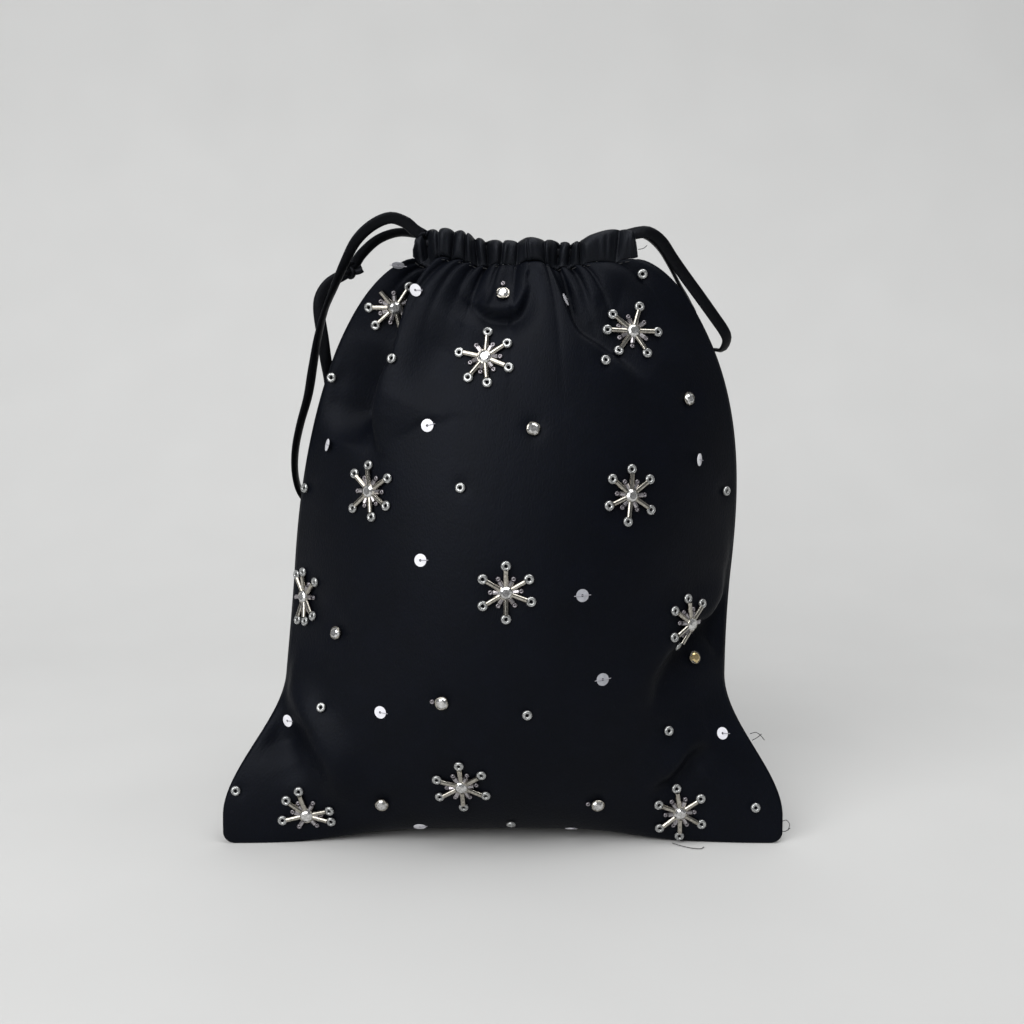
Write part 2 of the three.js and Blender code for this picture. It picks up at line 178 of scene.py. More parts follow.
def mesh_object(name: str, points: np.ndarray, faces: Sequence[Sequence[int]]) -> bpy.types.Object:
    """Makes an object at the origin from points in millimetres.

    Args:
        name: the object's name.
        points: an N by 3 array, in mm.
        faces: vertex numbers of each face.

    Returns:
        The new object, shaded smooth.
    """
    mesh = bpy.data.meshes.new(name)
    mesh.from_pydata((np.asarray(points, float) * MM).tolist(), [], faces)
    mesh.validate()
    obj = bpy.data.objects.new(name, mesh)
    bpy.context.scene.collection.objects.link(obj)
    mesh.shade_smooth()
    return obj


def grid_faces(columns: int, rows: int, ringed: bool = False) -> list[tuple[int, ...]]:
    """Numbers the quads of a grid whose points are listed column by column.

    Args:
        columns: number of columns.
        rows: points in each column.
        ringed: whether each column closes to a ring.

    Returns:
        The four vertex numbers of each quad.
    """
    quads = []
    for i in range(columns - 1):
        here, there = i * rows, (i + 1) * rows
        for j in range(rows if ringed else rows - 1):
            k = (j + 1) % rows
            quads.append((here + j, there + j, there + k, here + k))
    return quads


def map_flat(obj: bpy.types.Object, flat: np.ndarray) -> None:
    """Gives an object a UV map from the flat place of each of its points, in metres."""
    layer = obj.data.uv_layers.new(name="UVMap")
    flat = flat.reshape(-1, 2)
    for loop in obj.data.loops:
        layer.data[loop.index].uv = flat[loop.vertex_index]


def thicken(obj: bpy.types.Object, thickness: float, offset: float = -1.0) -> None:
    """Gives a sheet its thickness, in mm, inwards unless told otherwise."""
    wall = obj.modifiers.new("thickness", "SOLIDIFY")
    wall.thickness = thickness * MM
    wall.offset = offset
    apply_modifiers(obj)


@contextmanager
def editing() -> Iterator[None]:
    """Opens the active object in edit mode with all of it selected, and leaves edit mode at the end."""
    bpy.ops.object.mode_set(mode="EDIT")
    bpy.ops.mesh.select_all(action="SELECT")
    yield
    bpy.ops.object.mode_set(mode="OBJECT")


def finish_piece(obj: bpy.types.Object, slot: str, *nodes: str) -> bpy.types.Object:
    """Lets a finished piece ride on the pouch and stand for its CAD nodes."""
    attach(obj, BODY)
    if nodes:
        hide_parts(*nodes)
    LOG.info("%s: %d faces", obj.name, len(obj.data.polygons))
    return obj


def run_length(path: np.ndarray) -> np.ndarray:
    """Distance of each point of a path from its start, along it."""
    return np.concatenate([[0.0], np.cumsum(np.linalg.norm(np.diff(path, axis=0), axis=1))])


def smooth_path(points: Points, step: float) -> np.ndarray:
    """Runs a smooth curve through points, at even steps.

    Args:
        points: the points, in mm.
        step: distance between the curve's own points, in mm.

    Returns:
        An N by 3 array.
    """
    p = np.asarray(points, float)
    p = np.vstack([2 * p[0] - p[1], p, 2 * p[-1] - p[-2]])
    t = np.linspace(0.0, 1.0, CURVE_STEPS, endpoint=False)[:, None]
    fine = []
    for a, b, c, d in zip(p[:-3], p[1:-2], p[2:-1], p[3:]):
        straight = 2 * b + (c - a) * t
        bow = (2 * a - 5 * b + 4 * c - d) * t**2
        fine.append(0.5 * (straight + bow + (3 * b - a - 3 * c + d) * t**3))
    curve = np.vstack([*fine, p[-2:-1]])
    run = run_length(curve)
    at = np.linspace(0.0, run[-1], max(2, round(run[-1] / step)) + 1)
    return np.stack([np.interp(at, run, curve[:, i]) for i in range(3)], axis=1)


def tube_object(
    name: str,
    path: np.ndarray,
    half_width: float,
    half_height: float,
    facing: Sequence[float],
    sides: int = 12,
    twist: Sequence[float] = (0.0,),
) -> bpy.types.Object:
    """Sweeps a flat oval along a path and closes its ends.

    Args:
        name: the object's name.
        path: N by 3 points, in mm.
        half_width: half the oval's width, in mm.
        half_height: half its thickness, in mm.
        facing: direction that the flat side faces at the start.
        sides: points round the oval.
        twist: turn of the oval about the path, in degrees, at even steps along it.

    Returns:
        The new object, with a UV map of metres round and along.
    """
    tangents = np.gradient(path, axis=0)
    tangents /= np.linalg.norm(tangents, axis=1)[:, None]
    out = np.asarray(facing, float)
    rings = []
    angles = np.linspace(0.0, 2 * math.pi, sides, endpoint=False)
    turns = np.interp(np.linspace(0.0, 1.0, len(path)), np.linspace(0.0, 1.0, len(twist)), np.radians(twist))
    for point, tangent, turn in zip(path, tangents, turns):
        out = out - tangent * np.dot(out, tangent)
        out = out / np.linalg.norm(out)
        side = np.cross(tangent, out)
        flat = side * math.cos(turn) + out * math.sin(turn)
        thin = out * math.cos(turn) - side * math.sin(turn)
        ring = point + np.outer(np.cos(angles), flat) * half_width
        rings.append(ring + np.outer(np.sin(angles), thin) * half_height)
    count = len(path)
    faces = [(a, d, c, b) for a, b, c, d in grid_faces(count, sides, ringed=True)]
    faces.append(tuple(reversed(range(sides))))
    faces.append(tuple(range((count - 1) * sides, count * sides)))
    obj = mesh_object(name, np.vstack(rings), faces)
    around = 2 * math.pi * (half_width + half_height) / 2 * MM
    along, turned = np.meshgrid(run_length(path) * MM, np.arange(sides) / sides * around, indexing="ij")
    map_flat(obj, np.stack([turned, along], axis=-1))
    return obj


# Finishes


@dataclass(frozen=True)
class SatinFinish:
    """Black polyester satin: long floats along the warp give a soft sheen and faint upright lines."""

    name: str = "black_satin"
    color: str = "06080d"
    worn: str = "090c15"
    roughness: float = 0.5
    sheen: float = 0.01
    shine: float = 0.1
    thread_mm: float = 0.7  # drawn several times as coarse as real warp threads, so that they show
    float_share: float = 0.6  # how wide a thread shows for its length
    slub_mm: float = 14.0
    ripple_mm: float = 5.0
    streak: float = 0.5
    gloss_spread: tuple[float, float] = (-0.05, 0.06)
    ripple_bump: tuple[float, float] = (0.08, 0.0008)
    thread_bump: tuple[float, float] = (0.35, 0.0003)
    sheen_tint: str = "9aa3b4"
    sheen_roughness: float = 0.35
    shine_tint: str = "e9eefb"

    def material(self) -> bpy.types.Material:
        """Builds the woven satin on the piece's UV map.

        Returns:
            The material.
        """
        material, tree, shader = new_material(self.name)
        uv = add_node(tree, "ShaderNodeUVMap", {"uv_map": "UVMap"}).outputs["UV"]
        threads = 1 / (self.thread_mm * MM)
        stretch = (threads, self.float_share / (self.thread_mm * MM), 1.0)
        stretched = add_node(tree, "ShaderNodeMapping", Vector=uv, Scale=stretch).outputs["Vector"]
        warp = add_noise(tree, stretched, 1.0, 2.0)
        cloudy = add_noise(tree, uv, 1 / (self.slub_mm * MM), 3.0)
        ripple = add_noise(tree, uv, 1 / (self.ripple_mm * MM), 2.0)
        tone = add_blend(tree, cloudy.outputs["Fac"], linear(self.color), linear(self.worn))
        streaky = add_blend(tree, self.streak, tone, warp.outputs["Color"], "MULTIPLY")
        low, high = (self.roughness + part for part in self.gloss_spread)
        gloss = add_node(tree, "ShaderNodeMapRange", Value=warp.outputs["Fac"], To_Min=low, To_Max=high)
        normal = None
        for height, (strength, distance) in ((ripple, self.ripple_bump), (warp, self.thread_bump)):
            bump = add_node(
                tree, "ShaderNodeBump", Height=height.outputs["Fac"], Strength=strength, Distance=distance
            )
            if normal:
                tree.links.new(normal, bump.inputs["Normal"])
            normal = bump.outputs["Normal"]
        tree.links.new(streaky, shader.inputs["Base Color"])
        tree.links.new(gloss.outputs["Result"], shader.inputs["Roughness"])
        tree.links.new(normal, shader.inputs["Normal"])
        shader.inputs["Sheen Weight"].default_value = self.sheen
        shader.inputs["Sheen Roughness"].default_value = self.sheen_roughness
        shader.inputs["Sheen Tint"].default_value = linear(self.sheen_tint)
        shader.inputs["Specular IOR Level"].default_value = self.shine
        shader.inputs["Specular Tint"].default_value = linear(self.shine_tint)
        return material


@dataclass(frozen=True)
class GlossFinish:
    """A hard shiny finish of one substance, with faint uneven tone over its surface."""

    name: str
    color: str
    second: str
    roughness: float
    metallic: float = 0.0
    transmission: float = 0.0
    coat: float = 0.0
    speck_mm: float = 0.8
    gloss_spread: tuple[float, float] = (-0.04, 0.06)
    smoothest: float = 0.02

    def material(self) -> bpy.types.Material:
        """Builds the finish on Object coordinates.

        Returns:
            The material.
        """
        material, tree, shader = new_material(self.name)
        place = add_node(tree, "ShaderNodeTexCoord").outputs["Object"]
        speck = add_noise(tree, place, 1 / (self.speck_mm * MM), 1.0, "3D").outputs["Fac"]
        tone = add_blend(tree, speck, linear(self.color), linear(self.second))
        low, high = (max(self.smoothest, self.roughness + part) for part in self.gloss_spread)
        gloss = add_node(tree, "ShaderNodeMapRange", Value=speck, To_Min=low, To_Max=high)
        tree.links.new(tone, shader.inputs["Base Color"])
        tree.links.new(gloss.outputs["Result"], shader.inputs["Roughness"])
        shader.inputs["Metallic"].default_value = self.metallic
        shader.inputs["Transmission Weight"].default_value = self.transmission
        shader.inputs["Coat Weight"].default_value = self.coat
        return material


SATIN = SatinFinish()
# Same satin as the panels, with more shine and a lighter colour that is painted light from above on the casing
CASING_SATIN_PAINTED_LIT = SatinFinish(
    name="casing_satin", color="0d0f13", worn="14161b", roughness=0.48, shine=0.16, thread_mm=0.8
)
CORD_SATIN = SatinFinish(name="cord_satin", color="09090b", worn="0e0f12", roughness=0.4, thread_mm=0.7)
PAPER = GlossFinish("pale_paper", "c4c4c3", "bfbfbe", roughness=0.85, speck_mm=60.0)


class Bead(Enum):
    """Kinds of bead on the pouch, each with the look of its substance."""

    # Foiled glass: bright facets beside dark ones
    STONE = GlossFinish("foiled_crystal", "ffffff", "6a665f", roughness=0.06, metallic=0.85, speck_mm=0.7)
    GOLD_STONE = GlossFinish(
        "champagne_crystal", "e6d3a4", "a58d58", roughness=0.08, metallic=0.8, speck_mm=1.2
    )
    # Plated brass: grey silver with a soft shine
    CUP = GlossFinish("silver_cup", "c4c0b6", "77726a", roughness=0.24, metallic=1.0)
    # Glass over a silver lining: champagne, with bright lines along it
    BUGLE = GlossFinish("silver_lined_bugle", "d8d3c8", "5e5a52", roughness=0.13, metallic=1.0, speck_mm=0.7)
    # Clear glass: the black cloth shows through, and the rim catches the light
    RING = GlossFinish(
        "clear_glass_bead", "dedfdd", "4c4e51", roughness=0.06, metallic=0.6, transmission=0.25, speck_mm=0.6
    )
    # Lustred glass: grey lilac and half bright
    TUBE = GlossFinish("lilac_tube_bead", "c8c4c6", "5b575c", roughness=0.15, metallic=0.8)
    SEED = GlossFinish("lilac_seed_bead", "a9a4a8", "47434a", roughness=0.15, metallic=0.7)
    # Pearl plastic: white with a satin shine
    SEQUIN = GlossFinish("pearl_sequin", "f3f3f6", "dcdbe4", roughness=0.24, coat=0.5, speck_mm=1.5)
    CLEAR_SEQUIN = GlossFinish("clear_sequin", "b4b5bb", "8b8c93", roughness=0.2, coat=0.5, speck_mm=1.5)
    # Sewing thread: pale through the sequins, black in the seams
    STITCH = GlossFinish("pale_thread", "a9a7ae", "8a8890", roughness=0.6)
    THREAD = GlossFinish("black_thread", "0d0d0f", "151518", roughness=0.7)


# Cloth


@dataclass
class PouchForm:
    """The filled shape of the pouch, in mm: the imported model's, with rounded corners and its own lean."""

    width: float = 200.0
    height: float = 205.8
    waist: float = 159.0
    front_belly: float = 44.5
    back_belly: float = 47.0
    base_front: float = 20.0
    base_back: float = 24.0
    corner_height: float = 10.0
    waist_height: float = 58.0
    belly_height: float = 66.0
    chest_height: float = 95.0
    seam_forward: float = 26.0
    mouth_width: float = 78.0
    mouth_gap: float = 9.0
    mouth_end_gap: float = 2.4
    mouth_lean: float = 8.0
    mouth_dip: float = 2.2
    casing_seat: float = 5.45
    slit: float = 26.0
    seam_half: float = 0.5
    underside: float = 0.2
    flat_share: float = 0.5
    edge_roll: float = 3.4
    corner_round: float = 4.0
    # Where things start and stop
    lean_from: float = 28.0
    lean_below: float = 34.0
    seam_share: float = 0.5
    seam_narrows: tuple[float, float] = (15.0, 70.0)
    corner_from: float = 70.0
    roll_middle: float = -5.0
    roll_across: tuple[float, float] = (30.0, 72.0)
    roll_fade: float = 9.0
    roll_back: tuple[float, float] = (-24.0, 2.0)
    # Powers of the rounded curves
    shoulder_curve: tuple[float, float] = (2.4, 1.6)
    low_curve: tuple[float, float] = (2.2, 1.5)
    high_curve: tuple[float, float] = (2.0, 1.0)
    row_curve: tuple[float, float] = (1.3, 1.25)
    belly_curve: float = 2.3

    @staticmethod
    def rounded(share: np.ndarray, power: float, root: float) -> np.ndarray:
        """Falls from 1 to 0 on a rounded curve while share goes from 0 to 1."""
        return (1.0 - np.clip(share, 0.0, 1.0) ** power) ** (1.0 / root)

    def half_width(self, z: np.ndarray) -> np.ndarray:
        """Half the pouch's width at a height."""
        flare = 1.0 - smoothstep(z, self.corner_height, self.waist_height)
        lower = mix(self.waist, self.width, flare) / 2
        rise = (z - self.chest_height) / (self.height - self.chest_height)
        return lower - (self.waist - self.mouth_width) / 2 * (1.0 - self.rounded(rise, *self.shoulder_curve))

    def lean(self, z: np.ndarray) -> np.ndarray:
        """Sideways shift of the pouch's middle at a height."""
        return self.mouth_lean * smoothstep(z, self.lean_from, self.height - self.lean_below)

    def swell(self, face: Face, z: np.ndarray) -> np.ndarray:
        """Distance of the cloth from the middle plane, halfway across."""
        front = face is Face.FRONT
        base = self.base_front if front else self.base_back
        belly = self.front_belly if front else self.back_belly
        low = mix(base, belly, self.rounded(1.0 - z / self.belly_height, *self.low_curve))
        rise = (z - self.belly_height) / (self.height - self.belly_height)
        high = mix(self.mouth_gap / 2 + self.casing_seat, belly, self.rounded(rise, *self.high_curve))
        return np.where(z < self.belly_height, low, high)

    def seam(self, face: Face, z: np.ndarray) -> np.ndarray:
        """Y of the side seam, on one side of it."""
        forward = self.seam_forward * (1.0 - smoothstep(z, 0.0, self.chest_height))
        opened = smoothstep(z, self.height - self.slit, self.height)
        half = self.seam_half * (1.0 - self.seam_share * smoothstep(z, *self.seam_narrows))
        return -forward + face.value * mix(half, self.mouth_end_gap / 2 + self.casing_seat, opened)

    def row_height(self, share: np.ndarray) -> np.ndarray:
        """Height of a row of the cloth."""
        inner, outer = self.row_curve
        return self.height * (1.0 - (1.0 - share**inner) ** outer)

    def surface(self, face: Face, across: np.ndarray, up: np.ndarray) -> np.ndarray:
        """Points of the outside of the cloth.

        Args:
            face: which panel.
            across: from -1 at the left seam to 1 at the right.
            up: from 0 at the bottom seam to 1 at the casing seam.

        Returns:
            An array with one more axis, of X, Y and Z in mm.
        """
        under = 0.0 if face is Face.FRONT else self.underside
        seam_z = self.row_height(up)
        middle_z = self.row_height(np.maximum(0.0, up - under) / (1.0 - under))
        resting = mix(-self.base_front + self.seam_half, self.base_back, up / self.underside)
        middle_y = np.where(up < under, resting, face.value * self.swell(face, middle_z))
        corner = np.cos(math.pi / 2 * across) ** 2
        belly = 1.0 - np.abs(across) ** self.belly_curve
        swell = mix(corner, belly, smoothstep(seam_z, 0.0, self.waist_height))
        level = 1.0 - smoothstep(np.abs(across), self.flat_share, 1.0)
        dip = self.mouth_dip * (1.0 - across**2) * smoothstep(seam_z, self.height - self.slit, self.height)
        x = self.lean(seam_z) + self.half_width(seam_z) * across
        y = mix(self.seam(face, seam_z), middle_y, swell)
        z = mix(seam_z, middle_z, level) - dip
        return self.settled(np.stack([x, y, z], axis=-1))

    def settled(self, points: np.ndarray) -> np.ndarray:
        """Rounds the two corners and rolls the middle of the lower front edge off the floor.

        Args:
            points: points of the cloth, in mm.

        Returns:
            The same points, moved.
        """
        x, y, z = np.moveaxis(points, -1, 0)
        rise = 1.0 - np.clip(z / self.corner_round, 0.0, 1.0)
        corner = (1.0 - np.sqrt(1.0 - rise**2)) * smoothstep(np.abs(x), self.corner_from, self.width / 2)
        middle = 1.0 - smoothstep(np.abs(x - self.roll_middle), *self.roll_across)
        forward = 1.0 - smoothstep(y, *self.roll_back)
        roll = self.edge_roll * middle * np.exp(-z / self.roll_fade) * forward
        return np.stack([x - np.sign(x) * self.corner_round * corner, y, z + roll], axis=-1)

    def stitch_x(self, across: np.ndarray) -> np.ndarray:
        """Place along the casing seam of a column of the cloth."""
        return self.mouth_lean + across * self.mouth_width / 2


@dataclass(frozen=True)
class Gathers:
    """Rounded pleats that the drawn casing gives the cloth, side by side along the casing seam."""

    valleys: tuple[float, ...]
    heights: tuple[float, ...]
    lengths: tuple[float, ...]
    skew: float = 0.45
    skew_turn: float = 2.4
    skew_start: float = 0.8
    roundness: float = 0.6
    sunk: float = 0.45
    fade: float = 1.5

    def lobe(self, s: np.ndarray) -> tuple[np.ndarray, np.ndarray]:
        """Rounded height of the pleats along the seam, from 0 to 1.

        Args:
            s: place along the seam, in mm.

        Returns:
            The lobe's height and the number of its pleat.
        """
        edges = np.asarray(self.valleys)
        index = np.clip(np.searchsorted(edges, s, side="right") - 1, 0, len(self.heights) - 1)
        t = np.clip((s - edges[index]) / (edges[index + 1] - edges[index]), 0.0, 1.0)
        t = t ** (1.0 + self.skew * np.sin(self.skew_turn * index + self.skew_start))
        return np.clip(1.0 - (2 * t - 1) ** 2, 0.0, 1.0) ** self.roundness, index

    def height(self, s: np.ndarray, below: np.ndarray) -> np.ndarray:
        """How far the pleats stand out of the panel, at a depth below the seam."""
        lobe, index = self.lobe(s)
        gone = np.maximum(below, 0.0) / np.asarray(self.lengths)[index]
        return (lobe - self.sunk) * np.asarray(self.heights)[index] * np.exp(-(gone**self.fade))


@dataclass(frozen=True)
class Fold:
    """A fold along a line over the front: its height on either side of the line and how far it fades."""

    points: Points
    left: float
    right: float
    left_reach: float
    right_reach: float
    taper: tuple[float, ...]
    soft: float = 0.9

    def height(self, x: np.ndarray, z: np.ndarray) -> np.ndarray:
        """How far the fold moves the cloth outwards.

        Args:
            x: places across, in mm.
            z: heights, in mm.

        Returns:
            The height in mm at each place.
        """
        line = smooth_path([(a, 0.0, b) for a, b in self.points], 1.5)[:, (0, 2)]
        starts, ends = line[:-1], line[1:]
        best = np.full(x.shape, 1e9)
        signed = np.zeros(x.shape)
        share = np.zeros(x.shape)
        for i, (a, b) in enumerate(zip(starts, ends)):
            d = b - a
            length = float(d @ d)
            t = np.clip(((x - a[0]) * d[0] + (z - a[1]) * d[1]) / length, 0.0, 1.0)
            dx, dz = x - a[0] - t * d[0], z - a[1] - t * d[1]
            distance = np.hypot(dx, dz)
            near = distance < best
            best = np.where(near, distance, best)
            signed = np.where(near, np.sign(d[0] * dz - d[1] * dx) * distance, signed)
            share = np.where(near, (i + t) / len(starts), share)
        strength = np.interp(share, np.linspace(0.0, 1.0, len(self.taper)), self.taper)
        side = 1.0 / (1.0 + np.exp(-np.clip(signed / self.soft, -30, 30) * 2))
        low = self.right * np.exp(-((best / self.right_reach) ** 2))
        high = self.left * np.exp(-((best / self.left_reach) ** 2))
        return strength * mix(low, high, side)


@dataclass(frozen=True)
class Dimple:
    """The hollow that a tightly sewn bead leaves in the cloth."""

    node: str
    depth: float
    reach: float

    def height(self, x: np.ndarray, z: np.ndarray) -> np.ndarray:
        """How far the cloth is drawn in, as a height below 0."""
        low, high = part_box(self.node)
        middle = (low + high) / 2 / MM
        return -self.depth * np.exp(-((x - middle.x) ** 2 + (z - middle.z * TAKE_UP) ** 2) / self.reach**2)


FRONT_GATHERS = Gathers(
    (-31, -26, -21.8, -17.5, -12.5, -8.5, -5, -0.5, 4.6, 14.9, 19, 22.8, 27.2, 39.5, 47),
    (1.8, 2.0, 2.2, 2.4, 2.0, 2.2, 2.8, 2.6, 3.4, 2.6, 2.4, 2.8, 3.0, 2.0),
    (8, 10, 11, 15, 12, 12, 12, 10, 22, 14, 15, 14, 16, 10),
)
BACK_GATHERS = Gathers(
    (-31, -25, -20.5, -14, -9.5, -3, 1, 7.5, 12, 18.5, 23, 30, 34.5, 41, 47),
    (1.8, 2.2, 2.4, 2.0, 2.6, 2.0, 2.6, 2.2, 2.6, 2.0, 2.6, 2.2, 2.4, 1.8),
    (9, 14, 18, 12, 20, 13, 22, 12, 20, 13, 22, 14, 16, 9),
)
# Each fold has its line, heights left and right of it, how far each fades, strength along it and softness
FRONT_FOLDS = (
    # Fold from the left of the casing that laps over the side
    Fold(
        (
            (-22.8, 206.1), (-28.3, 199.2), (-32.6, 191.4), (-35.2, 182.8), (-37.7, 174.3), (-42.1, 164.8),
            (-44.8, 156.5), (-45.2, 149.5), (-43.6, 143.0), (-40.0, 138.0),
        ),
        4.8, -6.8, 17.0, 7.0, (0.6, 0.9, 1.0, 1.0, 1.0, 1.0, 0.9, 0.65, 0.3, 0.0), 0.8,
    ),
    Fold(
        ((-42.0, 188.0), (-46.5, 174.0), (-50.5, 162.0), (-53.0, 152.0), (-54.0, 142.0)),
        -10.5, -10.5, 5.5, 7.5, (0.0, 0.3, 0.85, 1.0, 0.0), 3.0,
    ),
    Fold(
        ((-16.0, 184.0), (-22.0, 175.0), (-27.0, 166.0), (-30.0, 157.0)),
        -3.2, -3.2, 9.0, 9.0, (0.0, 1.0, 0.8, 0.0), 3.0,
    ),
    # Hollow between that fold and the pocket
    Fold(
        ((-7.1, 202.6), (-8.9, 196.6), (-11.4, 190.7), (-15.3, 184.8)),
        -3.2, -3.2, 5.0, 6.0, (1.0, 1.0, 0.7, 0.0),
    ),
    # Puffed pocket under the middle gathers
    Fold(
        ((-9.2, 190.3), (-5.3, 187.5), (0.7, 186.5), (5.5, 187.8), (8.1, 193.2), (8.5, 196.6)),
        3.0, -2.6, 9.0, 5.0, (0.3, 0.9, 1.0, 1.0, 0.7, 0.3),
    ),
    Fold(((2.0, 203.5), (2.4, 195.5)), -2.0, -2.0, 2.6, 2.6, (1.0, 0.6, 0.0)),
    # Long ridge from the middle of the casing to the right shoulder
    Fold(
        (
            (15.5, 204.8), (19.8, 195.8), (23.2, 187.4), (26.5, 181.5), (33.4, 176.8), (43.0, 169.5),
            (49.2, 164.3),
        ),
        -4.6, 2.6, 10.0, 15.0, (0.7, 1.0, 1.0, 0.9, 0.6, 0.3, 0.0),
    ),
    Fold(((20.7, 202.6), (25.9, 194.9), (28.4, 186.5)), 1.4, 1.4, 2.0, 2.4, (0.8, 1.0, 0.0)),
    Fold(((26.8, 200.9), (30.3, 194.1), (31.4, 184.2)), 1.4, 1.4, 2.4, 2.0, (0.8, 1.0, 0.0)),
    Fold(((33.8, 194.9), (40.8, 192.3), (47.9, 191.4)), -1.3, -1.3, 6.0, 6.0, (0.0, 1.0, 0.0), 3.0),
    # Side of the belly lapping over the right corner
    Fold(
        ((81.4, 96.0), (79.5, 85.8), (74.2, 78.9), (68.2, 77.1), (59.5, 70.0), (53.4, 61.3), (51.2, 50.4)),
        -4.5, 2.6, 11.0, 13.0, (0.4, 0.9, 1.0, 1.0, 0.7, 0.4, 0.0), 1.6,
    ),
    Fold(((73.5, 74.6), (76.8, 68.1), (79.3, 62.1)), -1.4, 0.6, 3.0, 4.0, (0.2, 1.0, 0.2)),
    Fold(
        ((50.7, 20.6), (60.9, 27.1), (66.6, 33.5), (75.0, 35.8)),
        3.0, -3.2, 9.0, 8.0, (0.0, 1.0, 1.0, 0.0), 2.2,
    ),
    # Soft crease and hollow of the left corner
    Fold(
        (
            (-76.7, 55.9), (-73.6, 52.6), (-68.7, 44.8), (-63.2, 37.4), (-58.9, 30.9), (-59.1, 23.8),
            (-66.2, 20.4),
        ),
        3.8, 3.8, 8.0, 6.0, (0.6, 0.9, 1.0, 1.0, 1.0, 0.7, 0.0), 2.0,
    ),
    Fold(((-79.5, 46.0), (-78.0, 38.0), (-74.0, 29.4)), -5.0, -5.0, 8.0, 8.0, (0.3, 1.0, 0.5), 3.0),
)
BEAD_DIMPLES = (
    *(Dimple(f"rhinestone_{i:02d}", depth=0.9, reach=3.4) for i in range(1, 9)),
    *(Dimple(f"ring_bead_{i:02d}", depth=0.6, reach=2.6) for i in range(1, 14)),
    *(Dimple(f"snowflake_{i:02d}", depth=1.0, reach=6.0) for i in range(1, 12)),
)


@dataclass
class SatinPanel:
    """One panel of the pouch: a gathered sheet of satin that sags over what fills it."""

    face: Face
    form: PouchForm
    gathers: Gathers
    folds: tuple[Fold | Dimple, ...] = ()
    columns: int = 150
    rows: int = 170
    thickness: float = 0.5
    pinch: float = 0.35
    pinch_reach: float = 1.6
    held_share: float = 0.06
    floor_gap: float = 0.02
    obj: bpy.types.Object | None = field(default=None, repr=False)
    top_edge: np.ndarray | None = field(default=None, repr=False)

    def shape(self) -> tuple[np.ndarray, np.ndarray]:
        """Works out the cloth's grid of points.

        Returns:
            The points by column and row in mm, and their flat places in metres.
        """
        across, up = np.meshgrid(
            np.linspace(-1.0, 1.0, self.columns + 1), np.linspace(0.0, 1.0, self.rows + 1), indexing="ij"
        )
        base = self.form.surface(self.face, across, up)
        normal = np.cross(np.gradient(base, axis=0), np.gradient(base, axis=1)) * -self.face.value
        normal /= np.maximum(np.linalg.norm(normal, axis=-1, keepdims=True), 1e-9)
        below = self.form.height - self.form.row_height(up)
        lift = self.gathers.height(self.form.stitch_x(across), below)
        lift = lift - self.pinch * np.exp(-((below / self.pinch_reach) ** 2))
        for fold in self.folds:
            lift = lift + fold.height(base[..., 0], base[..., 2])
        lift = lift * smoothstep(1.0 - np.abs(across), 0.0, self.held_share)
        points = base + normal * lift[..., None]
        points[..., 2] = np.maximum(points[..., 2], self.floor_gap)
        run = np.cumsum(np.linalg.norm(np.diff(base, axis=1, prepend=base[:, :1]), axis=-1), axis=1)
        flat = np.stack([across * self.form.width / 2, run], axis=-1) * MM
        return points, flat

    def build(self) -> bpy.types.Object:
        """Makes the panel's mesh, with its thickness.

        Returns:
            The panel.
        """
        points, flat = self.shape()
        self.top_edge = points[:, -1]
        faces = grid_faces(self.columns + 1, self.rows + 1)
        if self.face is Face.BACK:
            faces = [quad[::-1] for quad in faces]
        self.obj = mesh_object(f"{self.face.name.lower()}_satin", points.reshape(-1, 3), faces)
        map_flat(self.obj, flat)
        thicken(self.obj, self.thickness)
        return self.obj

    def dress(self, finish: SatinFinish) -> None:
        """Gives the panel its satin."""
        self.obj.data.materials.append(finish.material())
        finish_piece(self.obj, "satin", f"{self.face.name.lower()}_panel")

    def declare(self, casing: bpy.types.Object) -> None:
        """Does nothing; the panel's cut, with the casing that is folded over from it, is not stated."""


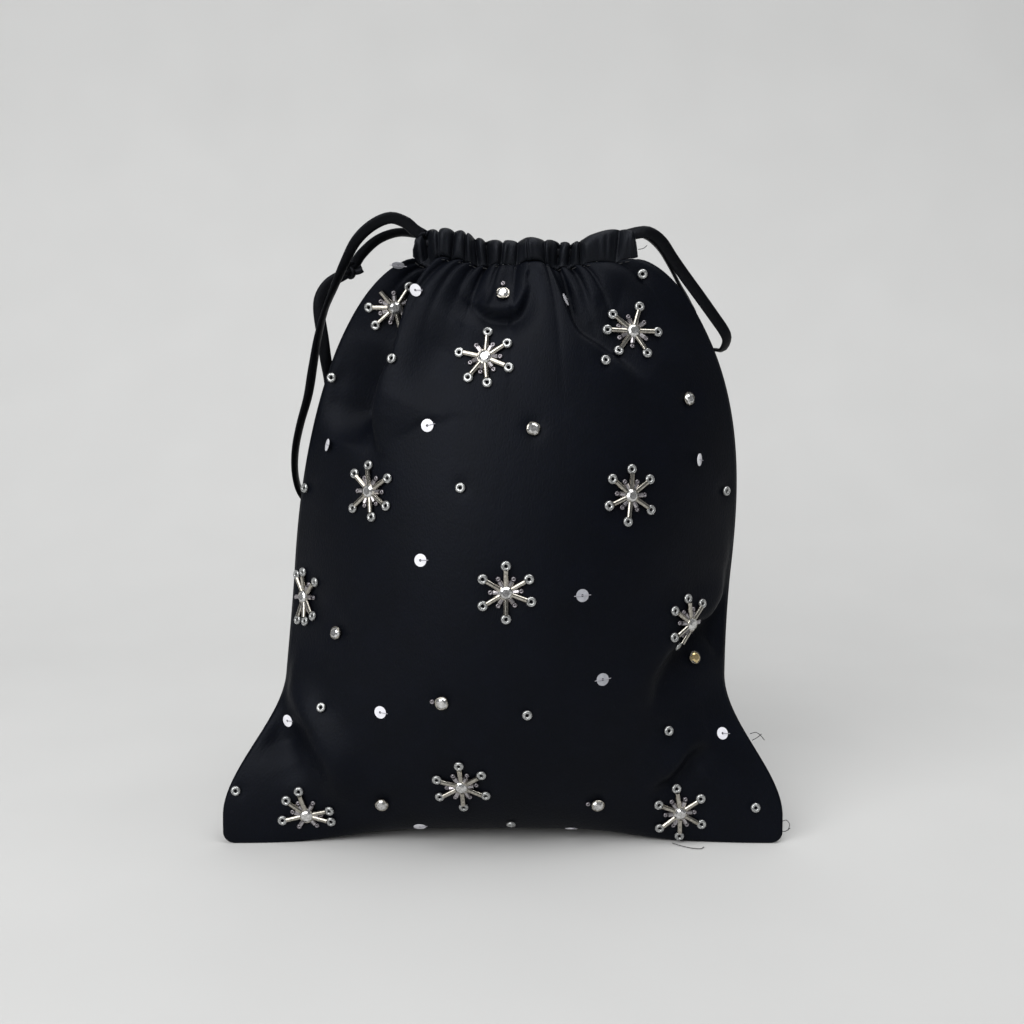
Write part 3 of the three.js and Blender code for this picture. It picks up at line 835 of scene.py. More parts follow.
@dataclass
class Casing:
    """The gathered tunnel at the mouth of one panel, whose pleats run on from those of the panel."""

    panel: SatinPanel
    top: Points
    fullness: float = 2.9
    inside: float = 7.0
    lean: float = 0.24
    stations: int = 340
    sides: int = 32
    hem: float = 0.03  # cloth round the tunnel, in metres
    # Start and gain of the fullness, from valley to pleat and from the ends inwards
    front_pleats: tuple[float, float] = (0.2, 0.8)
    front_ends: tuple[float, float] = (0.6, 0.4)
    inside_pleats: tuple[float, float] = (0.95, 0.1)
    inside_ends: tuple[float, float] = (0.75, 0.25)
    front_bow: tuple[float, float] = (0.2, 0.8)
    inside_bow: tuple[float, float] = (0.55, 0.45)
    end_share: float = 0.06
    pleat_width: float = 5.0
    top_dip: float = 1.3
    end_drop: float = 2.2
    end_lift: float = 0.5
    crumple: float = 0.22
    sway: float = 1.1
    turn_in: float = 0.35
    overlap: float = 0.15
    seam_gap: float = 0.05
    obj: bpy.types.Object | None = field(default=None, repr=False)

    def build(self) -> bpy.types.Object:
        """Makes the tunnel: it rises from the panel's top edge, turns over the cord and goes down inside.

        Returns:
            The casing.
        """
        face, form, gathers = self.panel.face, self.panel.form, self.panel.gathers
        across = np.linspace(-1.0, 1.0, self.stations + 1)
        columns = np.linspace(-1.0, 1.0, len(self.panel.top_edge))
        edge = np.stack([np.interp(across, columns, self.panel.top_edge[:, i]) for i in range(3)], axis=1)
        plain = form.surface(face, across, np.ones_like(across))
        s = form.stitch_x(across)
        lobe, index = gathers.lobe(s)
        wide = np.clip(np.diff(np.asarray(gathers.valleys))[index] / self.pleat_width, 0.7, 1.5)
        ends = smoothstep(1.0 - np.abs(across), 0.0, self.end_share)
        line = smooth_path([(a, 0.0, b) for a, b in self.top], 1.0)
        top = np.interp(s, line[:, 0], line[:, 2])
        top = top - self.top_dip * (1.0 - lobe) / wide - self.end_drop * (1.0 - ends) ** 2
        foot = edge[:, 2] + self.end_lift * (1.0 - ends)
        front = ramp(self.front_pleats, lobe) * self.fullness * ramp(self.front_ends, ends)
        back = ramp(self.inside_pleats, lobe) * self.inside * ramp(self.inside_ends, ends)
        turn = np.linspace(0.0, 2 * math.pi, self.sides, endpoint=False)
        rise = (1.0 - np.cos(turn)) / 2
        out = np.sin(turn) * np.where(turn < math.pi, ramp(self.front_bow, rise), ramp(self.inside_bow, rise))
        depth = np.where(out[None] > 0, front[:, None], back[:, None]) * out[None]
        uneven = self.crumple * np.sin(1.9 * s + 2.0 * np.sin(0.7 * s))[:, None] * np.sin(turn) ** 2
        tilt = self.lean * (top - foot) * (1.0 - np.abs(across) ** 3)
        sway = self.sway * np.sin(s * 0.33 + 0.9)
        x = np.repeat(edge[:, :1], self.sides, axis=1) + sway[:, None] * rise[None]
        y = mix(plain[:, 1:2], edge[:, 1:2], smoothstep(out, -self.turn_in, self.turn_in)[None])
        y = y + face.value * (depth + uneven - self.overlap - tilt[:, None] * rise[None])
        z = foot[:, None] + self.seam_gap + (top - foot)[:, None] * rise[None]
        quads = grid_faces(self.stations + 1, self.sides, ringed=True)
        faces = [(b, c, d, a) if face is Face.FRONT else (a, d, c, b) for a, b, c, d in quads]
        points = np.stack([x, y, z], axis=-1).reshape(-1, 3)
        self.obj = mesh_object(f"{face.name.lower()}_gathered_casing", points, faces)
        round_hem = np.arange(self.sides) / self.sides * self.hem
        flat = np.meshgrid(across * form.width / 2 * MM, round_hem, indexing="ij")
        map_flat(self.obj, np.stack(flat, axis=-1))
        thicken(self.obj, self.panel.thickness)
        return self.obj

    def dress(self, finish: SatinFinish) -> None:
        """Gives the casing its satin, painted lighter than the panels' for the light that falls on it from
        above.
        """
        name = self.panel.face.name.lower()
        self.obj.data.materials.append(finish.material())
        finish_piece(self.obj, "satin", f"{name}_casing")


FRONT_TOP = (
    (-31, 212.4), (-28.8, 213.6), (-25.7, 215.4), (-19.2, 216.3), (-11.4, 214.6), (-5.4, 212.6), (3.3, 212.2),
    (11.1, 213.2), (20.6, 211.6), (27.6, 212.2), (31.9, 214.2), (37.9, 216.3), (45.7, 215.2), (47, 214.6),
)
BACK_TOP = ((-31, 211.6), (-22, 213.6), (-8, 211.4), (8, 210.0), (24, 210.6), (38, 213.4), (47, 213.0))


# Drawstrings

LEFT_LOOP = (
    (-27.0, -4.2, 213.6), (-30.4, -4.3, 215.6), (-33.5, -4.5, 218.2), (-38.9, -4.8, 219.8),
    (-45.2, -5, 217.2), (-50.8, -5.2, 211.9), (-55.1, -5, 204.1), (-58.9, -4.5, 195.8),
    (-62.3, -4, 187.9), (-65.1, -3, 178.7), (-67.3, -1.5, 168.4), (-69.5, 0, 157.7), (-72.8, 2, 147.4),
    (-75.1, 4, 138.1), (-75.8, 6, 129.4), (-74.8, 9.0, 122.0), (-71.5, 12.2, 117.0),
    (-66.6, 15.2, 115.4), (-62.2, 17.2, 118.6), (-60.4, 17.6, 125.5), (-60.4, 16.2, 135),
    (-61.8, 12.4, 149), (-62.9, 8.5, 163.4), (-63.7, 6.5, 170), (-64.4, 5, 178), (-65.4, 4, 187),
    (-64.8, 4, 192.5), (-61.5, 4, 197.3), (-55.6, 4.1, 200.8), (-52.9, 4.2, 203.2), (-49.8, 4.3, 207.6),
    (-44, 4.4, 212.6), (-37, 4.4, 215), (-30.4, 4.4, 214.4), (-27.0, 4.4, 213.6),
)
RIGHT_LOOP = (
    (43.0, -6.6, 213.8), (47.4, -7.2, 214.8), (50.9, -7.2, 214.6), (55.2, -6, 211.6),
    (59.3, -4.5, 205.8), (64.2, -3, 199.3), (69.4, -1.5, 192.7), (74.7, 0, 185.8), (78.6, 1.5, 180.6),
    (80, 3.5, 177.3), (78.7, 6, 173.6), (75.1, 8.5, 173.3), (71, 12, 168), (69, 16.3, 157),
    (68, 19.8, 143), (67.4, 22.6, 128), (65.6, 25, 115.5), (61, 28.6, 109.2), (55.4, 32, 109.8),
    (52.2, 33.8, 116.5), (53.4, 33, 126.5), (57, 30.6, 136.5), (58.5, 26, 149), (60.5, 21, 163),
    (64, 14.6, 175), (69, 9.5, 184), (66.8, 9.6, 190.7), (63.4, 9.3, 196.5), (59.3, 7.6, 203.7),
    (55.6, 7.2, 209.3), (51.2, 7.6, 213.2), (47.0, 7.4, 214.2), (43.0, 7.0, 213.8),
)
LEFT_TWIST = (0.0, 25.0, 68.0, 45.0, 60.0, 85.0, 55.0, 40.0, 60.0, 25.0, 0.0)
RIGHT_TWIST = (10.0, 0.0, 12.0, 60.0, 30.0, 80.0, 30.0, 60.0, 20.0, 0.0)


@dataclass
class Drawstring:
    """A flat satin cord that leaves the casing, is knotted into a loop and goes back in."""

    name: str
    route: Points
    knot_at: tuple[float, float, float]
    knot_turn: float
    side: int
    twist: tuple[float, ...]
    width: float = 4.2
    thickness: float = 1.4
    step: float = 1.5
    lane: float = 4.5
    reach: float = 1.6
    lane_apart: float = 0.75
    lane_height: float = 4.6
    lane_slope: float = 1.6
    run_size: tuple[float, float] = (1.5, 0.7)  # half width and half thickness inside the tunnels
    knot_size: tuple[float, float] = (1.25, 0.8)
    knot_scale: float = 0.85
    tail_size: float = 0.5
    tail: Points = ((0.2, -0.9, 0.3), (1.6, -1.6, 0.6), (3.2, -2.0, 0.9), (4.4, -1.9, 1.0))
    facing: tuple[float, float, float] = (0.0, -1.0, 0.0)
    path: np.ndarray | None = field(default=None, repr=False)
    obj: bpy.types.Object | None = field(default=None, repr=False)

    def build(self) -> bpy.types.Object:
        """Sweeps the loop along its route.

        Returns:
            The loop.
        """
        self.path = smooth_path(self.route, self.step)
        half = (self.width / 2, self.thickness / 2)
        self.obj = tube_object(f"{self.name}_loop", self.path, *half, self.facing, 14, self.twist)
        return self.obj

    def build_run(self, form: PouchForm) -> bpy.types.Object:
        """Threads the cord through both tunnels, with its turn at the far end.

        Args:
            form: the shape that gives the tunnels' places.

        Returns:
            The threaded part of the cord.
        """
        across = np.linspace(-0.9, 0.9, 12) * -self.side
        lanes = []
        for face in (Face.FRONT, Face.BACK):
            edge = form.surface(face, across, np.ones_like(across))
            edge[:, 1] -= face.value * (self.lane + self.side * self.lane_apart)
            edge[:, 2] += self.lane_height + across * self.side * self.lane_slope
            lanes.append(edge)
        end = (lanes[0][-1] + lanes[1][-1]) / 2
        end[0] -= self.side * self.reach
        path = smooth_path([*lanes[0], end, *lanes[1][::-1]], 1.2)
        return tube_object(f"{self.name}_run", path, *self.run_size, self.facing, 10)

    def build_knot(self) -> bpy.types.Object:
        """Ties the knot: a pulled-tight overhand turn with two short tails.

        Returns:
            The knot.
        """
        t = np.linspace(0.0, 2 * math.pi, 60)
        aside, along = np.sin(t) + 2 * np.sin(2 * t), np.cos(t) - 2 * np.cos(2 * t)
        turn = np.stack([aside, along, -np.sin(3 * t)], axis=1)
        cos, sin = math.cos(math.radians(self.knot_turn)), math.sin(math.radians(self.knot_turn))
        flat = np.array([[cos, 0, sin], [-sin, 0, cos], [0, -1, 0]])
        knot = turn * self.knot_scale @ flat + self.knot_at
        pieces = [tube_object(f"{self.name}_knot", knot, *self.knot_size, (0.0, -1.0, 0.3), 10)]
        for name, spread, half in (("tail_one", (1, 1, 1), 1.1), ("tail_two", (1, 0.3, -0.6), 1.0)):
            tail = smooth_path((np.array(self.tail) * spread) @ flat + self.knot_at, 0.6)
            pieces.append(tube_object(name, tail, half, self.tail_size, (0.0, -1.0, 0.1), 8))
        activate(*pieces)
        bpy.ops.object.join()
        return pieces[0]

    def dress(self, finish: SatinFinish, form: PouchForm) -> None:
        material = finish.material()
        knot = self.build_knot()
        run = self.build_run(form)
        for piece in (self.obj, knot, run):
            piece.data.materials.clear()
            piece.data.materials.append(material)
        finish_piece(self.obj, "cord", self.name)
        finish_piece(knot, "cord")
        finish_piece(run, "cord")


LEFT_CORD = Drawstring(
    "left_drawstring", LEFT_LOOP, knot_at=(-54.4, 4.2, 202.0), knot_turn=25.0, side=-1, twist=LEFT_TWIST
)
RIGHT_CORD = Drawstring(
    "right_drawstring", RIGHT_LOOP, knot_at=(56.8, 31.0, 135.0), knot_turn=80.0, side=1, twist=RIGHT_TWIST
)

# Beadwork


@dataclass
class Cloth:
    """The outside of the front panel, as something to sew beads on."""

    panel: SatinPanel
    eye: Vector
    clearance: float = 0.05
    stride: float = 0.25
    tree: BVHTree | None = field(default=None, repr=False)

    def __post_init__(self) -> None:
        """Sets up the search tree of the panel's grid."""
        points, _ = self.panel.shape()
        quads = grid_faces(points.shape[0], points.shape[1])
        self.tree = BVHTree.FromPolygons(points.reshape(-1, 3).tolist(), quads)

    def under(self, node: str, nudge: tuple[float, float] = (0.0, 0.0)) -> Vector:
        """Finds where a CAD node's middle lies on the cloth, as the camera sees it.

        Args:
            node: name of the CAD node.
            nudge: sideways and upward shift, in mm.

        Returns:
            The point on the cloth, in mm.
        """
        low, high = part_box(node)
        middle = (low + high) / 2 / MM
        middle = Vector((middle.x + nudge[0], middle.y, middle.z * TAKE_UP + nudge[1]))
        hit = self.tree.ray_cast(self.eye, (middle - self.eye).normalized())[0]
        return hit or self.tree.find_nearest(middle)[0]

    def around(self, point: Vector, out: Vector, reach: float) -> list[tuple[Vector, Vector]]:
        """Finds the cloth at eight places round a point.

        Args:
            point: the middle, in mm.
            out: the cloth's outward direction there.
            reach: distance of the places from the middle, in mm.

        Returns:
            Where the cloth is and which way it faces, for each place.
        """
        across = out.cross(UP).normalized()
        found = []
        for k in range(8):
            turn = k * math.pi / 4
            probe = point + (across * math.cos(turn) + across.cross(out) * math.sin(turn)) * reach
            found.append(self.tree.find_nearest(probe)[:2])
        return found

    def normal(self, point: Vector, reach: float) -> Vector:
        """Averages the cloth's outward direction around a point."""
        first = self.tree.find_nearest(point)[1]
        total = first.copy()
        for _, facing in self.around(point, first, reach):
            total += facing
        return total.normalized()

    def seat(self, point: Vector, reach: float) -> tuple[Vector, Vector]:
        """Raises a bead's seat until its rim clears the cloth.

        Args:
            point: where the bead is sewn, in mm.
            reach: the bead's radius, in mm.

        Returns:
            The seat and its outward direction.
        """
        out = self.normal(point, reach)
        rim = max((place - point).dot(out) for place, _ in self.around(point, out, reach))
        return point + out * (max(0.0, rim) + self.clearance), out

    def heading(self, point: Vector, degrees: float, out: Vector) -> Vector:
        """Lays a direction seen in the picture onto the cloth.

        Args:
            point: where on the cloth, in mm.
            degrees: the direction as the camera sees it, anticlockwise from the right.
            out: the cloth's outward direction there.

        Returns:
            The direction along the cloth.
        """
        view = (point - self.eye).normalized()
        right = view.cross(UP).normalized()
        seen = right * math.cos(math.radians(degrees)) + right.cross(view) * math.sin(math.radians(degrees))
        return (seen - view * (seen.dot(out) / view.dot(out))).normalized()

    def walk(self, start: Vector, heading: Vector, stops: Sequence[float]) -> list[Vector]:
        """Follows the cloth from a point and notes where it is after each distance.

        Args:
            start: first point, in mm.
            heading: direction along the cloth.
            stops: rising distances, in mm.

        Returns:
            One point for each distance.
        """
        places, here, gone = [], start, 0.0
        for stop in stops:
            while gone < stop:
                found, out = self.tree.find_nearest(here + heading * self.stride)[:2]
                heading = (heading - out * heading.dot(out)).normalized()
                here, gone = found, gone + self.stride
            places.append(here)
        return places


def frame_at(place: Vector, out: Vector, along: Vector) -> Matrix:
    """Matrix, in metres, of a bead with Z out of the cloth and X along it."""
    side = out.cross(along).normalized()
    turn = Matrix((side.cross(out), side, out)).transposed().to_4x4()
    return Matrix.Translation(place * MM) @ turn


@dataclass
class BeadKit:
    """One of each bead at its size in mm, to be copied wherever it is sewn on."""

    stone_radius: float = 2.4
    cup_radius: float = 2.75
    cup_height: float = 1.3
    bugle_length: float = 5.2
    bugle_radius: float = 0.95
    ring_radius: float = 1.8
    tube_length: float = 1.9
    tube_radius: float = 0.85
    seed_radius: float = 0.95
    sequin_radius: float = 2.2
    ring_wall: float = 0.64
    seed_wall: float = 0.42
    # Rise in mm and scale of each step in the shape of stones and cups
    crown: Points = ((0.5, 0.8), (0.35, 0.68))
    pavilion: tuple[float, float] = (-0.95, 0.3)
    claws: Points = ((0.35, 0.93), (0.12, 0.8))
    cup_floor: tuple[float, float] = (-0.9, 0.9)
    cup_flare: float = 1.16
    cup_wall: float = 0.36
    claw_degrees: float = 13.0
    sequin_dish: float = 0.1
    sequin_hole: float = 0.2
    sequin_wall: float = 0.15
    stock: dict[Bead, bpy.types.Object] = field(default_factory=dict)

    def build(self) -> None:
        """Models one of each bead."""
        self.stock = {
            Bead.STONE: self.build_stone("stone"),
            Bead.GOLD_STONE: self.build_stone("gold_stone"),
            Bead.CUP: self.build_cup(),
            Bead.BUGLE: self.build_tube("bugle", 10, self.bugle_radius, self.bugle_length),
            Bead.RING: self.build_ring("ring", self.ring_radius, self.ring_wall, 12, 7),
            Bead.TUBE: self.build_tube("tube", 7, self.tube_radius, self.tube_length),
            Bead.SEED: self.build_ring("seed", self.seed_radius, self.seed_wall, 9, 5),
            Bead.SEQUIN: self.build_sequin("sequin"),
            Bead.CLEAR_SEQUIN: self.build_sequin("clear_sequin"),
            Bead.STITCH: self.build_stitch("pale_stitch", 0.13, 3.0),
            Bead.THREAD: self.build_stitch("black_stitch", 0.16, 1.5),
        }
        for bead, obj in self.stock.items():
            obj.data.materials.append(bead.value.material())

    @staticmethod
    @contextmanager
    def picked(obj: bpy.types.Object, test: Callable[[Vector, Vector], bool]) -> Iterator[None]:
        """Opens edit mode with only the faces selected that pass a test of place and normal."""
        activate(obj)
        bpy.ops.object.mode_set(mode="EDIT")
        bpy.ops.mesh.select_mode(type="FACE")
        bpy.ops.mesh.select_all(action="DESELECT")
        bpy.ops.object.mode_set(mode="OBJECT")
        for face in obj.data.polygons:
            face.select = test(face.center / MM, face.normal)
        bpy.ops.object.mode_set(mode="EDIT")
        yield
        bpy.ops.object.mode_set(mode="OBJECT")

    @staticmethod
    def raise_face(up: float, scale: float) -> None:
        """Extrudes the selected faces upwards, in mm, and scales them about the axis."""
        bpy.ops.mesh.extrude_region_move(TRANSFORM_OT_translate={"value": (0.0, 0.0, up * MM)})
        bpy.ops.transform.resize(value=(scale, scale, 1.0), center_override=(0.0, 0.0, 0.0))

    @staticmethod
    def cylinder(name: str, sides: int, radius: float, height: float, foot: float) -> bpy.types.Object:
        """Adds an upright cylinder at its size, standing at a height, in mm."""
        deselect()
        bpy.ops.mesh.primitive_cylinder_add(vertices=sides, radius=radius * MM, depth=height * MM)
        obj = bpy.context.object
        obj.name = name
        with editing():
            bpy.ops.transform.translate(value=(0.0, 0.0, (foot + height / 2) * MM))
        return obj

    def build_stone(self, name: str) -> bpy.types.Object:
        """Cuts a round stone: girdle, two rows of crown facets, a table and a point below.

        Args:
            name: the stone's name.

        Returns:
            The stone.
        """
        stone = self.cylinder(name, 10, self.stone_radius, 0.25, 1.2)
        with self.picked(stone, lambda place, normal: normal.z > 0.9):
            for up, scale in self.crown:
                self.raise_face(up, scale)
        with self.picked(stone, lambda place, normal: normal.z < -0.9):
            self.raise_face(*self.pavilion)
        return stone

    def build_cup(self) -> bpy.types.Object:
        """Presses the cup that holds a stone, with four claws bent over it.

        Returns:
            The cup.
        """
        cup = self.cylinder("cup", 16, self.cup_radius * 0.86, self.cup_height, 0.0)
        with self.picked(cup, lambda place, normal: normal.z > 0.9):
            flare = (self.cup_flare, self.cup_flare, 1.0)
            bpy.ops.transform.resize(value=flare, center_override=(0.0, 0.0, 0.0))
            bpy.ops.mesh.inset(thickness=self.cup_wall * MM)
            self.raise_face(*self.cup_floor)

        def is_claw(place: Vector, normal: Vector) -> bool:
            """Whether a face is on the rim, at one of the four claws."""
            off = math.degrees(math.atan2(place.y, place.x)) % 90 - 45
            return normal.z > 0.5 and place.z > self.cup_height - 0.05 and abs(off) < self.claw_degrees

        with self.picked(cup, is_claw):
            for up, scale in self.claws:
                self.raise_face(up, scale)
        return cup

    def build_tube(self, name: str, sides: int, radius: float, length: float) -> bpy.types.Object:
        """Draws a glass tube along X, hollow at its ends.

        Args:
            name: the bead's name.
            sides: number of sides.
            radius: outer radius, in mm.
            length: length, in mm.

        Returns:
            The tube bead, lying on the plane Z = 0.
        """
        tube = self.cylinder(name, sides, radius, length, -length / 2)
        with self.picked(tube, lambda place, normal: abs(normal.z) > 0.9):
            bpy.ops.mesh.inset(thickness=radius * 0.38 * MM, use_individual=True)
            bpy.ops.mesh.inset(thickness=0.02 * MM, depth=-length * 0.2 * MM, use_individual=True)
            bpy.ops.mesh.select_all(action="SELECT")
            bpy.ops.transform.rotate(value=math.pi / 2, orient_axis="Y", center_override=(0.0, 0.0, 0.0))
            bpy.ops.transform.translate(value=(0.0, 0.0, radius * MM))
        bpy.ops.object.shade_smooth_by_angle(angle=math.radians(50))
        return tube

    def build_ring(self, name: str, radius: float, wall: float, around: int, sides: int) -> bpy.types.Object:
        """Winds a round glass bead, flat on the plane Z = 0.

        Args:
            name: the bead's name.
            radius: outer radius, in mm.
            wall: radius of its wall, in mm.
            around: faces round the bead.
            sides: faces round its wall.

        Returns:
            The bead.
        """
        deselect()
        bpy.ops.mesh.primitive_torus_add(
            major_segments=around,
            minor_segments=sides,
            major_radius=(radius - wall) * MM,
            minor_radius=wall * MM,
        )
        ring = bpy.context.object
        ring.name = name
        with editing():
            bpy.ops.transform.translate(value=(0.0, 0.0, wall * MM))
        bpy.ops.object.shade_smooth()
        return ring

    def build_sequin(self, name: str) -> bpy.types.Object:
        """Punches a flat sequin with its hole.

        Args:
            name: the sequin's name.

        Returns:
            The sequin.
        """
        deselect()
        bpy.ops.mesh.primitive_circle_add(vertices=22, radius=self.sequin_radius * MM, fill_type="NOTHING")
        sequin = bpy.context.object
        sequin.name = name
        hole = (self.sequin_hole, self.sequin_hole, 1.0)
        dish = {"value": (0.0, 0.0, self.sequin_dish * MM)}
        with editing():
            bpy.ops.mesh.extrude_edges_move(TRANSFORM_OT_translate=dish)
            bpy.ops.transform.resize(value=hole, center_override=(0.0, 0.0, 0.0))
            bpy.ops.mesh.select_all(action="SELECT")
            bpy.ops.mesh.normals_make_consistent(inside=False)
        thicken(sequin, self.sequin_wall, 1.0)
        bpy.ops.object.shade_smooth_by_angle(angle=math.radians(40))
        return sequin

    def build_stitch(self, name: str, radius: float, length: float) -> bpy.types.Object:
        """Makes one straight stitch of thread along X.

        Args:
            name: the stitch's name.
            radius: the thread's radius, in mm.
            length: the stitch's length, in mm.

        Returns:
            The stitch.
        """
        stitch = self.cylinder(name, 6, radius, length, -length / 2)
        with self.picked(stitch, lambda place, normal: True):
            bpy.ops.transform.rotate(value=math.pi / 2, orient_axis="Y", center_override=(0.0, 0.0, 0.0))
        bpy.ops.object.shade_smooth_by_angle(angle=math.radians(50))
        return stitch

    def copy(self, bead: Bead, place: Matrix) -> bpy.types.Object:
        """Copies a bead, with its own mesh, to a place.

        Args:
            bead: which bead.
            place: matrix in metres.

        Returns:
            The copy, at the origin with its place in its mesh.
        """
        source = self.stock[bead]
        mesh = source.data.copy()
        mesh.transform(place)
        obj = bpy.data.objects.new(source.name, mesh)
        bpy.context.scene.collection.objects.link(obj)
        return obj

    @staticmethod
    def strung(name: str, beads: list[bpy.types.Object]) -> bpy.types.Object:
        """Joins beads to one named object."""
        activate(*beads)
        if len(beads) > 1:
            bpy.ops.object.join()
        beads[0].name = name
        return beads[0]

    def clear(self) -> None:
        """Takes the samples away once everything is sewn on."""
        for obj in self.stock.values():
            bpy.data.objects.remove(obj)


@dataclass(frozen=True)
class Snowflake:
    """A beaded snowflake: arms of a bugle and a ring, and shorter ones of a tube and a seed between them."""

    node: str
    arms: tuple[float, ...]
    ringless: tuple[float, ...] = ()
    tucked: tuple[float, ...] = ()
    nudge: tuple[float, float] = (0.0, 0.0)
    strung_from: float = 2.3
    ring_at: float = 9.0
    tube_from: float = 2.4
    seed_at: float = 5.1

    def sew(self, cloth: Cloth, kit: BeadKit) -> None:
        """Sews the snowflake onto the cloth, arm by arm.

        Args:
            cloth: the cloth it follows.
            kit: the beads to copy.
        """
        start = cloth.under(self.node, self.nudge)
        place, out = cloth.seat(start, kit.cup_radius)
        turn = frame_at(place, out, cloth.heading(start, self.arms[0] + 15.0, out))
        stone = kit.strung(f"{self.node}_stone", [kit.copy(Bead.CUP, turn), kit.copy(Bead.STONE, turn)])
        finish_piece(stone, "crystal", self.node)
        beads = []
        order = sorted(angle % 360 for angle in self.arms)
        for angle in self.arms:
            if angle not in self.tucked:
                beads += self.long_arm(cloth, kit, start, angle, angle not in self.ringless)
        for angle, after in zip(order, [*order[1:], order[0] + 360]):
            beads += self.short_arm(cloth, kit, start, (angle + after) / 2)
        finish_piece(kit.strung(f"{self.node}_beads", beads), "glass", self.node)

    def lay(self, cloth: Cloth, kit: BeadKit, bead: Bead, start: Vector, end: Vector) -> bpy.types.Object:
        """Lays a tube bead between two points of the cloth, raised to clear the cloth between them.

        Args:
            cloth: the cloth.
            kit: the beads to copy.
            bead: which tube bead.
            start: one end, in mm.
            end: the other end, in mm.

        Returns:
            The bead.
        """
        middle = (start + end) / 2
        out = cloth.normal(middle, 2.0)
        under = (cloth.tree.find_nearest(start.lerp(end, t))[0] for t in (0.25, 0.5, 0.75))
        bulge = max(0.0, *((place - middle).dot(out) for place in under))
        return kit.copy(bead, frame_at(middle + out * bulge, out, (end - start).normalized()))

    def long_arm(
        self, cloth: Cloth, kit: BeadKit, start: Vector, angle: float, ringed: bool
    ) -> list[bpy.types.Object]:
        """Strings a bugle and a ring bead outwards.

        Args:
            cloth: the cloth.
            kit: the beads to copy.
            start: the snowflake's middle, in mm.
            angle: the arm's direction as seen, in degrees.
            ringed: whether the ring bead is still there.

        Returns:
            The arm's beads.
        """
        heading = cloth.heading(start, angle, cloth.normal(start, 2.5))
        stops = (self.strung_from, self.strung_from + kit.bugle_length, self.ring_at)
        near, far, tip = cloth.walk(start, heading, stops)
        beads = [self.lay(cloth, kit, Bead.BUGLE, near, far)]
        if ringed:
            place, out = cloth.seat(tip, kit.ring_radius)
            beads.append(kit.copy(Bead.RING, frame_at(place, out, (tip - far).normalized())))
        return beads

    def short_arm(self, cloth: Cloth, kit: BeadKit, start: Vector, angle: float) -> list[bpy.types.Object]:
        """Strings a short tube and a seed bead outwards.

        Args:
            cloth: the cloth.
            kit: the beads to copy.
            start: the snowflake's middle, in mm.
            angle: the arm's direction as seen, in degrees.

        Returns:
            The arm's beads.
        """
        heading = cloth.heading(start, angle, cloth.normal(start, 2.5))
        stops = (self.tube_from, self.tube_from + kit.tube_length, self.seed_at)
        near, far, tip = cloth.walk(start, heading, stops)
        place, out = cloth.seat(tip, kit.seed_radius)
        return [
            self.lay(cloth, kit, Bead.TUBE, near, far),
            kit.copy(Bead.SEED, frame_at(place, out, (tip - far).normalized())),
        ]


SNOWFLAKES = (
    Snowflake(
        "snowflake_01", (58, 130, 178, 222, 283, 0), ringless=(130, 283), tucked=(0,), nudge=(0.8, -0.4)
    ),
    Snowflake("snowflake_02", (83, 31, -23, -85, 230, 168), nudge=(0.0, -1.4)),
    Snowflake("snowflake_03", (77, -1, -57, -125, 177, 141), nudge=(-0.6, -0.9)),
    Snowflake("snowflake_04", (90, 34, -42, -85, 225, 128)),
    Snowflake("snowflake_05", (90, 42, -35, -97, 206, 139)),
    Snowflake("snowflake_06", (90, 30, -20, -90, 210, 150)),
    Snowflake("snowflake_07", (87, 48, -66, -87, 255, 105), nudge=(0.2, 0.8)),
    Snowflake("snowflake_08", (90, 60, 135, 224, 251, -20), tucked=(-20,)),
    Snowflake("snowflake_09", (97, 30, -20, -85, 203, 163)),
    Snowflake("snowflake_10", (143, 108, 11, -16, 188, -80), tucked=(-80,)),
    Snowflake("snowflake_11", (99, 36, -24, -89, 219, 160)),
)


